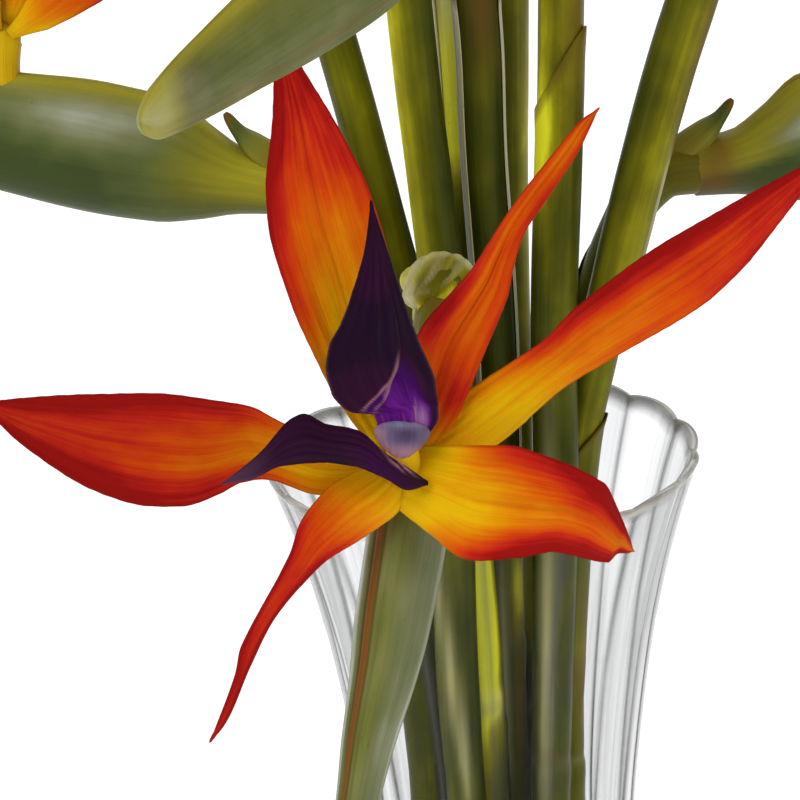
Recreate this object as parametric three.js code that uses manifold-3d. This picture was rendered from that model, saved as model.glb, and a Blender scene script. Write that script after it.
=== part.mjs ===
import * as THREE from 'three';
import { mergeVertices } from 'three/addons/utils/BufferGeometryUtils.js';
import Module from 'manifold-3d';

// Ten bird of paradise flowers standing in water in a fluted glass vase.
// Millimetres, Z up. The origin is the centre of the vase's base, and the main bloom faces -Y.

// Sizes of the vase and its water; the rows are the heights at which the glass changes slope
const VASE_HEIGHT = 215;
const RIM_RADIUS = 58;
const WAIST_RADIUS = 34.8;
const WAIST_HEIGHT = 100;
const FOOT_RADIUS = 42;
const FLARE_POWER = 1.85;
const GLASS_WALL = 3;
const GLASS_FLOOR = 10;
const FOOT_ROUNDING = 2;
const LIP_ROUNDING = 1;
const FLUTES = 16;
const FLUTE_DEPTH = 1.2;
const FLUTE_SHARPNESS = 2.2;
const FIRST_FLUTE = THREE.MathUtils.degToRad(20);
const FLUTE_FACETS = 3;
const WATER_LEVEL = 92;
const WATER_SIDES = 32;
const OUTER_ROWS = [30, 65, WAIST_HEIGHT, 135, 165, 192];
const INNER_ROWS = [50, WATER_LEVEL, 130, 165, 195];

// Clearance between pieces that touch, and thickness of sepals and petals
const GAP = 0.3;
const BLADE_THICKNESS = 1;
const ROOT_START = 4;

// Stems: radius where they stand in the vase, and radius at the neck
const STEM_FOOT_RADIUS = 5.2;
const STEM_STRAIGHT_TO = 100;
const NECK_RADIUS = 7.5;
const NECK_STRAIGHT = 12;
const STEM_SIDES = 8;
const HOLE_DEPTH = 1;

// Spathe: its outline from the neck to the blunt tip, as distance, height above and below
// the middle line, and half width
const SPATHE_STATIONS = [
  { at: 0, above: 7.5, below: 7.5, side: 7.5 },
  { at: 10, above: 7.3, below: 9.5, side: 7.8 },
  { at: 19, above: 11.5, below: 12.8, side: 9 },
  { at: 31, above: 17.8, below: 16, side: 10.6 },
  { at: 48, above: 18, below: 17, side: 11 },
  { at: 74, above: 15.6, below: 16.2, side: 9.8 },
  { at: 104, above: 13, below: 14, side: 8.2 },
  { at: 140, above: 9.9, below: 11, side: 5.6 },
  { at: 172, above: 6, below: 6.8, side: 3.6 },
  { at: 180, above: 2.4, below: 2.8, side: 1.6 },
];
const SPATHE_SIDES = 8;
const SPATHE_RIDGE = 0.2;
const SHOULDER = 31;

// Thorn: the pointed end of the sheath that stands off the back of the neck
const THORN_ROOT = new THREE.Vector3(5, 0, 3);
const THORN_TIP = new THREE.Vector3(14, 0, 17);
const THORN_RADIUS = 5.4;
const THORN_TIP_RADIUS = 0.7;
const THORN_FLATNESS = 0.6;
const THORN_SIDES = 5;

// Flower stalk: from its socket in the spathe up to the centre of the florets
const FLORET_HEIGHT = 24;
const SOCKET_HEIGHT = 5;
const SOCKET_SETBACK = 4;
const WRIST_DROP = 7;
const WRIST_SETBACK = 1;
const STALK_HEAD_RISE = 3;
const STALK_RADII = [3.6, 4.2, 6, 4.5];
const STALK_SIDES = 6;

// Peg: the foot of the purple petals, in its socket at the centre of the florets
const PEG_RADIUS = 2.6;
const PEG_BOTTOM = 1;
const PEG_TOP = 11;
const PEG_SIDES = 6;

const COLOURS = {
  glass: '#dfe6e4',
  water: '#e3ecea',
  stem: '#5d6a1e',
  spathe: '#5c6b4c',
  sepal: '#e8641c',
  petal: '#3a1350',
};

// Sepals of the open bloom, laid out as seen from the front: turn is the direction from the
// centre in degrees anticlockwise from the right, and belly is where along it it is widest.
// Bow bends its middle to the left of it, lift starts it forward, rise brings the tip forward
// and arch the middle, and cup curves it across.
const OPEN_SEPALS = [
  { turn: 107, length: 115, width: 25, belly: 0.54, root: 0.4, taper: 1.4,
    bow: 4, lift: -2, rise: -2, arch: 5, cup: 0.14 },
  { turn: 64, length: 101, width: 17, belly: 0.3, root: 0.34, taper: 0.7,
    bow: 3, lift: 1.5, rise: 4, arch: -3, cup: 0.3 },
  { turn: 38.5, length: 130, width: 18, belly: 0.53, root: 0.5, taper: 1.3,
    bow: -4, lift: -1.5, rise: 14, arch: 2, cup: -0.3 },
  { turn: -18, length: 62, width: 25.5, belly: 0.34, root: 0.4, taper: 3,
    bow: 1, lift: 2, rise: 6, arch: 13, cup: -0.15 },
  { turn: -123.5, length: 82, width: 15.5, belly: 0.18, root: 0.5, taper: 0.52, tip: 0.14,
    bow: -5.5, lift: 2.5, rise: 14, arch: 6, cup: -0.3 },
  { turn: 173, length: 105, width: 26.5, belly: 0.58, root: 0.3, taper: 2,
    bow: 5, lift: -2, rise: 8, arch: 0, cup: 0.12 },
];

// Purple petals of the open bloom: the claw is the narrow part below an arrowhead's shoulders
const OPEN_PETALS = [
  { turn: 101, length: 65, width: 27, belly: 0.3, root: 0.42, claw: 0.12, taper: 0.85,
    bow: 2, lift: 10, rise: 9, arch: 5, cup: -0.35, start: 0 },
  { turn: 185, length: 46, width: 13, belly: 0.6, root: 0.4, taper: 1.6,
    bow: -10, lift: 9, rise: 6, arch: 9, cup: -0.4, start: -5 },
];

// Sepals and petals of the blooms whose florets stand up in a fan along the spathe
const FAN_SEPALS = [
  { turn: 121, length: 98, width: 19, belly: 0.5, root: 0.3, taper: 1.4,
    bow: 6, lift: -3.5, rise: -12, arch: 2, cup: 0.25 },
  { turn: 103, length: 108, width: 22, belly: 0.55, root: 0.26, taper: 1.5,
    bow: -4, lift: 0, rise: 8, arch: -2, cup: 0.2 },
  { turn: 86, length: 110, width: 20, belly: 0.5, root: 0.28, taper: 1.3,
    bow: 5, lift: 3.5, rise: -8, arch: 2, cup: 0.25 },
  { turn: 68, length: 104, width: 23, belly: 0.56, root: 0.26, taper: 1.8,
    bow: -5, lift: -3.5, rise: -14, arch: 0, cup: 0.15 },
  { turn: 49, length: 100, width: 19, belly: 0.5, root: 0.3, taper: 1.3,
    bow: -6, lift: 0, rise: -22, arch: 2, cup: 0.25 },
  { turn: 27, length: 88, width: 22, belly: 0.52, root: 0.26, taper: 2,
    bow: 6, lift: 3, rise: -10, arch: -2, cup: 0.15 },
];
const FAN_PETALS = [
  { turn: 58, length: 64, width: 24, belly: 0.3, root: 0.42, claw: 0.12, taper: 0.85,
    bow: 3, lift: 10, rise: 14, arch: 3, cup: -0.35, start: 0 },
  { turn: 24, length: 52, width: 13, belly: 0.5, root: 0.4, taper: 1.4,
    bow: 7, lift: 10, rise: 10, arch: 5, cup: -0.35, start: -2 },
];

// How far the sepals and petals of one fan differ from those of the next
const TURN_SPREAD = 4;
const LENGTH_SPREAD = 0.1;
const RISE_SPREAD = 4;
const SEED_STEP = 7654321;
const DRAW_FACTOR = 16807;
const DRAW_MODULUS = 2147483647;

// How a fine blade and a plain one are divided, across and along
const OPEN_GRID = [4, 7];
const FAN_GRID = [2, 4];
const PETAL_ACROSS = 2;
const BLUNTEST = 0.05;

// How the florets face in the spathe's own frame: X along it to the tip, Z off its back
const OPEN_FACE = { up: new THREE.Vector3(-0.93, -0.07, 0.37), out: new THREE.Vector3(0.33, 0.3, 0.9) };
const FAN_FACE = { up: new THREE.Vector3(0, 0, 1), out: new THREE.Vector3(0, -1, 0) };

// The blooms: where each stem stands in the vase, the points that it rises through, its radius
// there, the neck, and the spathe's heading (degrees from +X), climb, roll and girth, and how
// far along it the florets stand
const BLOOMS = [
  { name: 'front', foot: [-9, -17], route: [[-10, -17, 160], [-9, -22, 215], [-8, -28, 250]], radius: 5.6,
    neck: [-10, -47, 269], heading: -108, climb: -47, roll: -8, girth: 0.82, florets: 46, open: true },
  { name: 'left', foot: [-19, -6], route: [[-20, -7, 160], [-22, -9, 205], [-30, -11, 245]], radius: 5.6,
    neck: [-49, -11, 297.5], heading: 169.5, climb: 11.5, roll: 0, girth: 1, florets: 77 },
  { name: 'right', foot: [14, 14], route: [[20, 17, 160], [26, 19, 215], [32, 19, 250]], radius: 5.8,
    neck: [61, 20, 285], heading: 15, climb: 5.5, roll: 0, girth: 1.03, florets: 68 },
  { name: 'near', foot: [3, 7], route: [[4, 5, 182], [5, 2, 246], [4, 0, 300], [4, -2, 335]], radius: 6.2,
    neck: [-4, -17, 376], heading: -113.5, climb: 0, roll: 0, girth: 0.99, florets: 68 },
  { name: 'leaning_left', foot: [-9, 7], route: [[-10, 5, 180], [-12, 3, 228], [-21, 1, 274], [-36, 5, 345]],
    radius: 5, neck: [-64, 24, 408], heading: 150, climb: 10, roll: 0, girth: 1, florets: 68 },
  { name: 'tall_left', foot: [-2, -6], route: [[-4, -7, 187], [-9, -8, 273], [-13, -9, 335], [-16, -4, 410]],
    radius: 5.7, neck: [-34, 4, 468], heading: -172, climb: 12, roll: 0, girth: 1, florets: 68 },
  { name: 'tall_back', foot: [-7, 19], route: [[-4, 19, 200], [-3, 20, 262], [-4, 20, 335], [-8, 24, 390]],
    radius: 4.8, neck: [-14, 46, 436], heading: 102, climb: 6, roll: 0, girth: 0.9, florets: 68 },
  { name: 'top_back', foot: [5, 21],
    route: [[8, 20, 176], [9, 21, 239], [10, 23, 279], [13, 25, 345], [16, 26, 440]], radius: 5.4,
    neck: [30, 44, 492], heading: 58, climb: 12, roll: 0, girth: 1, florets: 68 },
  { name: 'tall_right', foot: [13, -10],
    route: [[16, -10, 160], [19, -8, 215], [20, -6, 250], [24, -5, 310], [29, -6, 390]], radius: 6.2,
    neck: [46, -20, 446], heading: -42, climb: 8, roll: 0, girth: 1, florets: 68 },
  { name: 'leaning_right', foot: [18, 3],
    route: [[20, 5, 160], [26, 5, 215], [31, 0, 240], [40, -8, 278], [57, -15, 338]], radius: 6.4,
    neck: [88, -24, 388], heading: -9, climb: 6, roll: 0, girth: 1, florets: 68 },
];

const wasm = await Module();
wasm.setup();

// Solids: a closed mesh becomes a solid that can be cut and joined, and comes back as a mesh
function solid(geometry) {
  const bare = geometry.clone();
  bare.deleteAttribute('normal');
  bare.deleteAttribute('uv');
  const merged = mergeVertices(bare, 1e-4);
  const index = merged.index.array;
  const kept = [];
  for (let i = 0; i < index.length; i += 3) {
    const [a, b, c] = [index[i], index[i + 1], index[i + 2]];
    if (a !== b && b !== c && c !== a) kept.push(a, b, c);
  }
  return new wasm.Manifold(new wasm.Mesh({
    numProp: 3,
    vertProperties: new Float32Array(merged.attributes.position.array),
    triVerts: new Uint32Array(kept),
  }));
}

function geometryOf(body) {
  const mesh = body.getMesh();
  const geometry = new THREE.BufferGeometry();
  geometry.setAttribute('position', new THREE.BufferAttribute(mesh.vertProperties, 3));
  geometry.setIndex(new THREE.BufferAttribute(mesh.triVerts, 1));
  geometry.computeVertexNormals();
  return geometry;
}

function piece(name, body, colour, roughness) {
  const material = new THREE.MeshStandardMaterial({ color: colour, roughness, metalness: 0 });
  const mesh = new THREE.Mesh(geometryOf(body), material);
  mesh.name = name;
  return mesh;
}

// A closed hose along a curve; section(ring, across, over) gives its offsets from the curve for
// a point of the unit circle
function hose(curve, rings, sides, firstSide, section) {
  const frames = [];
  const side = firstSide.clone();
  for (let ring = 0; ring <= rings; ring += 1) {
    const tangent = curve.getTangent(ring / rings);
    side.addScaledVector(tangent, -side.dot(tangent)).normalize();
    frames.push({
      centre: curve.getPoint(ring / rings),
      side: side.clone(),
      over: side.clone().cross(tangent),
    });
  }
  const geometry = new THREE.CylinderGeometry(1, 1, 1, sides, rings);
  const position = geometry.attributes.position;
  for (let i = 0; i < position.count; i += 1) {
    const ring = Math.round((position.getY(i) + 0.5) * rings);
    const frame = frames[ring];
    const [across, over] = section(ring, position.getX(i), position.getZ(i));
    const point = frame.centre.clone().addScaledVector(frame.side, across).addScaledVector(frame.over, over);
    position.setXYZ(i, point.x, point.y, point.z);
  }
  return geometry;
}

// Share of a blade's full width at a distance v from its root
function bladeWidth(spec, v) {
  const claw = spec.claw ?? 0;
  const grown = THREE.MathUtils.clamp((v - claw) / (spec.belly - claw), 0, 1);
  if (v < spec.belly) return spec.root + (1 - spec.root) * Math.sin((Math.PI / 2) * grown);
  const past = (v - spec.belly) / (1 - spec.belly);
  return Math.max(1 - past ** spec.taper, spec.tip ?? BLUNTEST);
}

// Middle line of a blade, in the florets' own frame: X right, Y up, Z out
function bladeLine(spec, v) {
  const turn = THREE.MathUtils.degToRad(spec.turn);
  const start = spec.start ?? ROOT_START;
  const bulge = 4 * v * (1 - v);
  const ahead = start + (spec.length - start) * v;
  const aside = spec.bow * bulge;
  return new THREE.Vector3(
    Math.cos(turn) * ahead - Math.sin(turn) * aside,
    Math.sin(turn) * ahead + Math.cos(turn) * aside,
    spec.lift + spec.rise * v * v + spec.arch * bulge,
  );
}

// A sepal or petal: one sheet of even thickness, cupped across and bowed along, whose two faces
// are split into triangles alike
function blade(spec, across, along) {
  const front = new THREE.PlaneGeometry(2, 1, across, along);
  const back = front.clone();
  const grid = front.attributes.position;
  const step = 0.01;
  for (let i = 0; i < grid.count; i += 1) {
    const x = grid.getX(i);
    const v = grid.getY(i) + 0.5;
    const centre = bladeLine(spec, v);
    const tangent = bladeLine(spec, v + step).sub(bladeLine(spec, v - step)).normalize();
    const face = new THREE.Vector3(0, 0, 1).addScaledVector(tangent, -tangent.z).normalize();
    const wide = tangent.clone().cross(face);
    const half = (spec.width / 2) * bladeWidth(spec, v);
    const normal = face.clone().addScaledVector(wide, -2 * spec.cup * x).normalize();
    centre.addScaledVector(wide, x * half).addScaledVector(face, spec.cup * x * x * half);
    const upper = centre.clone().addScaledVector(normal, BLADE_THICKNESS / 2);
    const lower = centre.clone().addScaledVector(normal, -BLADE_THICKNESS / 2);
    grid.setXYZ(i, upper.x, upper.y, upper.z);
    back.attributes.position.setXYZ(i, lower.x, lower.y, lower.z);
  }
  return solid(closeSheet(front, back, across, along));
}

// Joins the front and back grids of a blade along their common edge
function closeSheet(front, back, across, along) {
  const count = front.attributes.position.count;
  const row = across + 1;
  const edge = [];
  for (let j = 0; j < along; j += 1) edge.push(j * row);
  for (let i = 0; i < across; i += 1) edge.push(along * row + i);
  for (let j = along; j > 0; j -= 1) edge.push(j * row + across);
  for (let i = across; i > 0; i -= 1) edge.push(i);
  const faces = [...front.index.array];
  const behind = [...front.index.array].reverse();
  behind.forEach((corner) => faces.push(corner + count));
  edge.forEach((here, k) => {
    const next = edge[(k + 1) % edge.length];
    faces.push(here, here + count, next + count);
    faces.push(here, next + count, next);
  });
  const geometry = new THREE.BufferGeometry();
  const both = [...front.attributes.position.array, ...back.attributes.position.array];
  geometry.setAttribute('position', new THREE.Float32BufferAttribute(both, 3));
  geometry.setIndex(faces);
  return geometry;
}

// Vase: a turned glass with its outside drawn in at each flute
function outerRadius(height) {
  const above = height > WAIST_HEIGHT;
  const span = above ? VASE_HEIGHT - WAIST_HEIGHT : WAIST_HEIGHT;
  const end = above ? RIM_RADIUS : FOOT_RADIUS;
  const share = Math.abs(height - WAIST_HEIGHT) / span;
  return WAIST_RADIUS + (end - WAIST_RADIUS) * share ** FLARE_POWER;
}

function vaseProfile() {
  const outside = (height) => new THREE.Vector2(outerRadius(height), height);
  const inside = (height) => new THREE.Vector2(outerRadius(height) - GLASS_WALL, height);
  const lip = VASE_HEIGHT - LIP_ROUNDING;
  return [
    new THREE.Vector2(0, 0),
    new THREE.Vector2(FOOT_RADIUS - FOOT_ROUNDING, 0),
    outside(FOOT_ROUNDING),
    ...OUTER_ROWS.map(outside),
    outside(lip),
    new THREE.Vector2(RIM_RADIUS - LIP_ROUNDING, VASE_HEIGHT),
    new THREE.Vector2(RIM_RADIUS - GLASS_WALL + LIP_ROUNDING, VASE_HEIGHT),
    inside(lip),
    ...INNER_ROWS.map(inside).reverse(),
    inside(GLASS_FLOOR),
    new THREE.Vector2(0, GLASS_FLOOR),
  ];
}

function vase() {
  const geometry = new THREE.LatheGeometry(vaseProfile(), FLUTES * FLUTE_FACETS, Math.PI / 2 + FIRST_FLUTE);
  geometry.rotateX(Math.PI / 2);
  const position = geometry.attributes.position;
  for (let i = 0; i < position.count; i += 1) {
    const radius = Math.hypot(position.getX(i), position.getY(i));
    const height = position.getZ(i);
    const outside = radius > outerRadius(height) - GLASS_WALL / 2 && height > FOOT_ROUNDING / 2;
    if (!outside) continue;
    const angle = Math.atan2(position.getY(i), position.getX(i)) - FIRST_FLUTE;
    const share = (((angle / (2 * Math.PI)) * FLUTES) % 1 + 1) % 1;
    const depth = FLUTE_DEPTH * Math.abs(2 * share - 1) ** FLUTE_SHARPNESS;
    const scale = (radius - depth) / radius;
    position.setXY(i, position.getX(i) * scale, position.getY(i) * scale);
  }
  return solid(geometry);
}

// Water, with a plain hole for each stem
function water(stemHoles) {
  const bottom = GLASS_FLOOR + GAP;
  const heights = [bottom, ...INNER_ROWS.filter((height) => height <= WATER_LEVEL)];
  const side = heights.map((height) => new THREE.Vector2(outerRadius(height) - GLASS_WALL - GAP, height));
  const points = [new THREE.Vector2(0, bottom), ...side, new THREE.Vector2(0, WATER_LEVEL)];
  const geometry = new THREE.LatheGeometry(points, WATER_SIDES);
  geometry.rotateX(Math.PI / 2);
  return stemHoles.reduce((body, hole) => body.subtract(hole), solid(geometry));
}

// Stem: a tapering hose from the vase's floor to the neck, where it turns along the spathe
function spatheAxis(bloom) {
  const heading = THREE.MathUtils.degToRad(bloom.heading);
  const climb = THREE.MathUtils.degToRad(bloom.climb);
  return new THREE.Vector3(
    Math.cos(heading) * Math.cos(climb),
    Math.sin(heading) * Math.cos(climb),
    Math.sin(climb),
  );
}

function stem(bloom, grown) {
  const floor = GLASS_FLOOR + GAP - (grown ? HOLE_DEPTH : 0);
  const axis = spatheAxis(bloom);
  const neck = new THREE.Vector3(...bloom.neck);
  const points = [
    new THREE.Vector3(...bloom.foot, floor),
    new THREE.Vector3(...bloom.foot, STEM_STRAIGHT_TO),
    ...bloom.route.map((point) => new THREE.Vector3(...point)),
    neck.clone().addScaledVector(axis, -NECK_STRAIGHT),
    neck.clone().addScaledVector(axis, -GAP),
  ];
  const curve = new THREE.CatmullRomCurve3(points, false, 'centripetal');
  const rings = 2 * (points.length - 1);
  const section = (ring, across, over) => {
    const rise = THREE.MathUtils.clamp((ring - 2) / (rings - 4), 0, 1);
    const middle = STEM_FOOT_RADIUS + (bloom.radius - STEM_FOOT_RADIUS) * rise;
    const radius = (ring < rings - 2 ? middle : NECK_RADIUS) + (grown ? GAP : 0);
    return [across * radius, over * radius];
  };
  return solid(hose(curve, rings, STEM_SIDES, new THREE.Vector3(1, 0, 0), section));
}

// Spathe, in its own frame, with its thorn
function spathe(bloom) {
  const middles = SPATHE_STATIONS.map((station) => new THREE.Vector3(station.at, 0, 0));
  const line = new THREE.CatmullRomCurve3(middles);
  const section = (ring, across, over) => {
    const { at, above, below, side } = SPATHE_STATIONS[ring];
    const girth = 1 + (bloom.girth - 1) * Math.min(at / SHOULDER, 1);
    const wide = across * side * (1 - SPATHE_RIDGE * over);
    return [wide * girth, over * (over > 0 ? above : below) * girth];
  };
  const rings = SPATHE_STATIONS.length - 1;
  const shell = hose(line, rings, SPATHE_SIDES, new THREE.Vector3(0, -1, 0), section);
  const thornLine = new THREE.LineCurve3(THORN_ROOT, THORN_TIP);
  const thornSection = (ring, across, over) => {
    const radius = [THORN_RADIUS, THORN_TIP_RADIUS][ring];
    return [across * radius, over * radius * THORN_FLATNESS];
  };
  const thorn = hose(thornLine, 1, THORN_SIDES, new THREE.Vector3(0, -1, 0), thornSection);
  return solid(shell).add(solid(thorn));
}

// Flower stalk from the spathe's middle to the florets' centre, in the spathe's frame
function stalk(bloom, grown) {
  const extra = grown ? GAP : 0;
  const out = (bloom.open ? OPEN_FACE : FAN_FACE).out.clone().normalize();
  const centre = new THREE.Vector3(bloom.florets, 0, FLORET_HEIGHT);
  const points = [
    new THREE.Vector3(bloom.florets - SOCKET_SETBACK, 0, SOCKET_HEIGHT - extra),
    new THREE.Vector3(bloom.florets - WRIST_SETBACK, 0, FLORET_HEIGHT - WRIST_DROP),
    centre,
    centre.clone().addScaledVector(out, STALK_HEAD_RISE),
  ];
  const curve = new THREE.CatmullRomCurve3(points, false, 'centripetal');
  const section = (ring, across, over) => {
    const radius = STALK_RADII[ring] + extra;
    return [across * radius, over * radius];
  };
  return solid(hose(curve, STALK_RADII.length - 1, STALK_SIDES, new THREE.Vector3(0, -1, 0), section));
}

// Florets: the blades are made in the florets' frame and set on the spathe
function floretFrame(bloom) {
  const face = bloom.open ? OPEN_FACE : FAN_FACE;
  const out = face.out.clone().normalize();
  const right = face.up.clone().cross(out).normalize();
  const up = out.clone().cross(right);
  const frame = new THREE.Matrix4().makeBasis(right, up, out);
  return frame.setPosition(bloom.florets, 0, FLORET_HEIGHT);
}

function setOn(body, frame) {
  return body.transform(frame.elements);
}

function peg(grown) {
  const extra = grown ? GAP : 0;
  const bottom = PEG_BOTTOM - extra;
  const radius = PEG_RADIUS + extra;
  const geometry = new THREE.CylinderGeometry(radius, radius, PEG_TOP - bottom, PEG_SIDES);
  geometry.rotateX(Math.PI / 2);
  geometry.translate(0, 0, (PEG_TOP + bottom) / 2);
  return solid(geometry);
}

function vary(specs, random) {
  return specs.map((spec) => ({
    ...spec,
    turn: spec.turn + TURN_SPREAD * (random() - 0.5),
    length: spec.length * (1 + LENGTH_SPREAD * (random() - 0.5)),
    rise: spec.rise + RISE_SPREAD * (random() - 0.5),
  }));
}

// A short seeded draw, so that the blooms differ and every run is the same
function seeded(seed) {
  let state = (seed * SEED_STEP) % DRAW_MODULUS;
  return () => {
    state = (state * DRAW_FACTOR) % DRAW_MODULUS;
    return state / DRAW_MODULUS;
  };
}

function bloomPieces(bloom, number) {
  const random = seeded(number + 1);
  const sepalSpecs = bloom.open ? OPEN_SEPALS : vary(FAN_SEPALS, random);
  const petalSpecs = bloom.open ? OPEN_PETALS : vary(FAN_PETALS, random);
  const [across, along] = bloom.open ? OPEN_GRID : FAN_GRID;
  const frame = floretFrame(bloom);
  const sepals = sepalSpecs.reduce(
    (body, spec) => body.add(setOn(blade(spec, across, along), frame)),
    stalk(bloom, false),
  );
  const petals = petalSpecs.reduce((body, spec) => body.add(blade(spec, PETAL_ACROSS, along)), peg(false));
  const group = new THREE.Group();
  group.position.set(...bloom.neck);
  group.rotation.set(
    THREE.MathUtils.degToRad(bloom.roll),
    THREE.MathUtils.degToRad(-bloom.climb),
    THREE.MathUtils.degToRad(bloom.heading),
    'ZYX',
  );
  group.add(piece(`spathe_${bloom.name}`, spathe(bloom).subtract(stalk(bloom, true)), COLOURS.spathe, 0.5));
  group.add(piece(`sepals_${bloom.name}`, sepals.subtract(setOn(peg(true), frame)), COLOURS.sepal, 0.6));
  group.add(piece(`petals_${bloom.name}`, setOn(petals, frame), COLOURS.petal, 0.55));
  return group;
}

// The whole flower arrangement
const arrangement = new THREE.Group();
arrangement.add(piece('vase', vase(), COLOURS.glass, 0.05));
arrangement.add(piece('water', water(BLOOMS.map((bloom) => stem(bloom, true))), COLOURS.water, 0.05));
BLOOMS.forEach((bloom, number) => {
  arrangement.add(piece(`stem_${bloom.name}`, stem(bloom, false), COLOURS.stem, 0.5));
  arrangement.add(bloomPieces(bloom, number));
});

export default arrangement;
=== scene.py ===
"""Ten bird of paradise flowers in a fluted glass vase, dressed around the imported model.

The script's own values are in millimetres and degrees. Meshes and properties are in metres.
"""

import math

import bpy
import numpy as np
from mathutils import Matrix, Vector


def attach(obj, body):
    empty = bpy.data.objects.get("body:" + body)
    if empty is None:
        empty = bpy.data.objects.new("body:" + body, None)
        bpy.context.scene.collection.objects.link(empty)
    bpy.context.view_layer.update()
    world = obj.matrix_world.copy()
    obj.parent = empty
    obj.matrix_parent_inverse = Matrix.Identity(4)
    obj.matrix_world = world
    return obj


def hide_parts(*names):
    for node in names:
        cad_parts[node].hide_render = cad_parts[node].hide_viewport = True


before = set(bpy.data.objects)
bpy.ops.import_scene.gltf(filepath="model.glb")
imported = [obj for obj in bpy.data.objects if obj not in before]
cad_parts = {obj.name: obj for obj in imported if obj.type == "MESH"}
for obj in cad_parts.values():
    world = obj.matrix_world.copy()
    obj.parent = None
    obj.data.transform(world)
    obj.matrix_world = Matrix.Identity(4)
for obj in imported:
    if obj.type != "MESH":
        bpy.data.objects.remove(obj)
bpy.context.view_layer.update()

bl_info = {
    "name": "Bird of paradise flowers in a vase",
    "version": (1, 0, 0),
    "blender": (4, 5, 0),
    "location": "3D View > Sidebar > Flowers",
    "description": "Makes the vase, water, stems, spathes, sepals and petals of the arrangement",
    "category": "Object",
}

MM = 0.001

# The blooms, as the model has them: where each stem stands, the points that it rises through,
# its radius there, the neck, and the spathe's heading and climb, its roll where it has one and its
# girth where it isn't 1
BLOOMS = [
    {"name": "front", "foot": (-9, -17), "route": [(-10, -17, 160), (-9, -22, 215), (-8, -28, 250)],
     "radius": 5.6, "neck": (-10, -47, 269), "heading": -108, "climb": -47, "roll": -8, "girth": 0.82,
     "florets": 46},
    {"name": "left", "foot": (-19, -6), "route": [(-20, -7, 160), (-22, -9, 205), (-30, -11, 245)],
     "radius": 5.6, "neck": (-49, -11, 297.5), "heading": 169.5, "climb": 11.5, "florets": 77},
    {"name": "right", "foot": (14, 14), "route": [(20, 17, 160), (26, 19, 215), (32, 19, 250)],
     "radius": 5.8, "neck": (61, 20, 285), "heading": 15, "climb": 5.5, "girth": 1.03},
    {"name": "near", "foot": (3, 7), "route": [(4, 5, 182), (5, 2, 246), (4, 0, 300), (4, -2, 335)],
     "radius": 6.2, "neck": (-4, -17, 376), "heading": -113.5, "climb": 0, "girth": 0.99},
    {"name": "leaning_left", "foot": (-9, 7),
     "route": [(-10, 5, 180), (-12, 3, 228), (-21, 1, 274), (-36, 5, 345)],
     "radius": 5, "neck": (-64, 24, 408), "heading": 150, "climb": 10},
    {"name": "tall_left", "foot": (-2, -6),
     "route": [(-4, -7, 187), (-9, -8, 273), (-13, -9, 335), (-16, -4, 410)],
     "radius": 5.7, "neck": (-34, 4, 468), "heading": -172, "climb": 12},
    {"name": "tall_back", "foot": (-7, 19),
     "route": [(-4, 19, 200), (-3, 20, 262), (-4, 20, 335), (-8, 24, 390)],
     "radius": 4.8, "neck": (-14, 46, 436), "heading": 102, "climb": 6, "girth": 0.9},
    {"name": "top_back", "foot": (5, 21),
     "route": [(8, 20, 176), (9, 21, 239), (10, 23, 279), (13, 25, 345), (16, 26, 440)],
     "radius": 5.4, "neck": (30, 44, 492), "heading": 58, "climb": 12},
    {"name": "tall_right", "foot": (13, -10),
     "route": [(16, -10, 160), (19, -8, 215), (20, -6, 250), (24, -5, 310), (29, -6, 390)],
     "radius": 6.2, "neck": (46, -20, 446), "heading": -42, "climb": 8},
    {"name": "leaning_right", "foot": (18, 3),
     "route": [(20, 5, 160), (26, 5, 215), (31, 0, 240), (40, -8, 278), (57, -15, 338)],
     "radius": 6.4, "neck": (88, -24, 388), "heading": -9, "climb": 6},
]
FLORETS_AT = 68
FLORET_HEIGHT = 24
STEM_FOOT = 10.3
STEM_FOOT_RADIUS = 5.2
STEM_STRAIGHT_TO = 100
NECK_RADIUS = 7.5
NECK_STRAIGHT = 12
NECK_GAP = 0.3


def rotation(axis, degrees):
    return np.array(Matrix.Rotation(math.radians(degrees), 3, axis))


def unit(vector):
    vector = np.asarray(vector, float)
    return vector / np.linalg.norm(vector)


# Fine meshes: points in millimetres, with a place and a paint value at each point

class Shape:
    """Gathers patches of a piece: points, faces, their place on the piece and their paint."""

    def __init__(self):
        self.points, self.place, self.paint = [], [], []
        self.quads, self.triangles = [], []
        self.count = 0

    def add(self, points, place, paint, quads=None, triangles=None):
        points = np.asarray(points, float).reshape(-1, 3)
        self.points.append(points)
        self.place.append(np.broadcast_to(np.asarray(place, float), points.shape))
        self.paint.append(np.broadcast_to(np.asarray(paint, float), points.shape))
        if quads is not None:
            self.quads.append(np.asarray(quads) + self.count)
        if triangles is not None:
            self.triangles.append(np.asarray(triangles) + self.count)
        self.count += len(points)

    def moved(self, matrix, offset):
        """The same shape turned by a matrix and then moved."""
        self.points = [points @ matrix.T + np.asarray(offset, float) for points in self.points]
        return self

    def join(self, other):
        for points, place, paint in zip(other.points, other.place, other.paint):
            self.points.append(points)
            self.place.append(place)
            self.paint.append(paint)
        self.quads += [quads + self.count for quads in other.quads]
        self.triangles += [triangles + self.count for triangles in other.triangles]
        self.count += other.count
        return self


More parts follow.
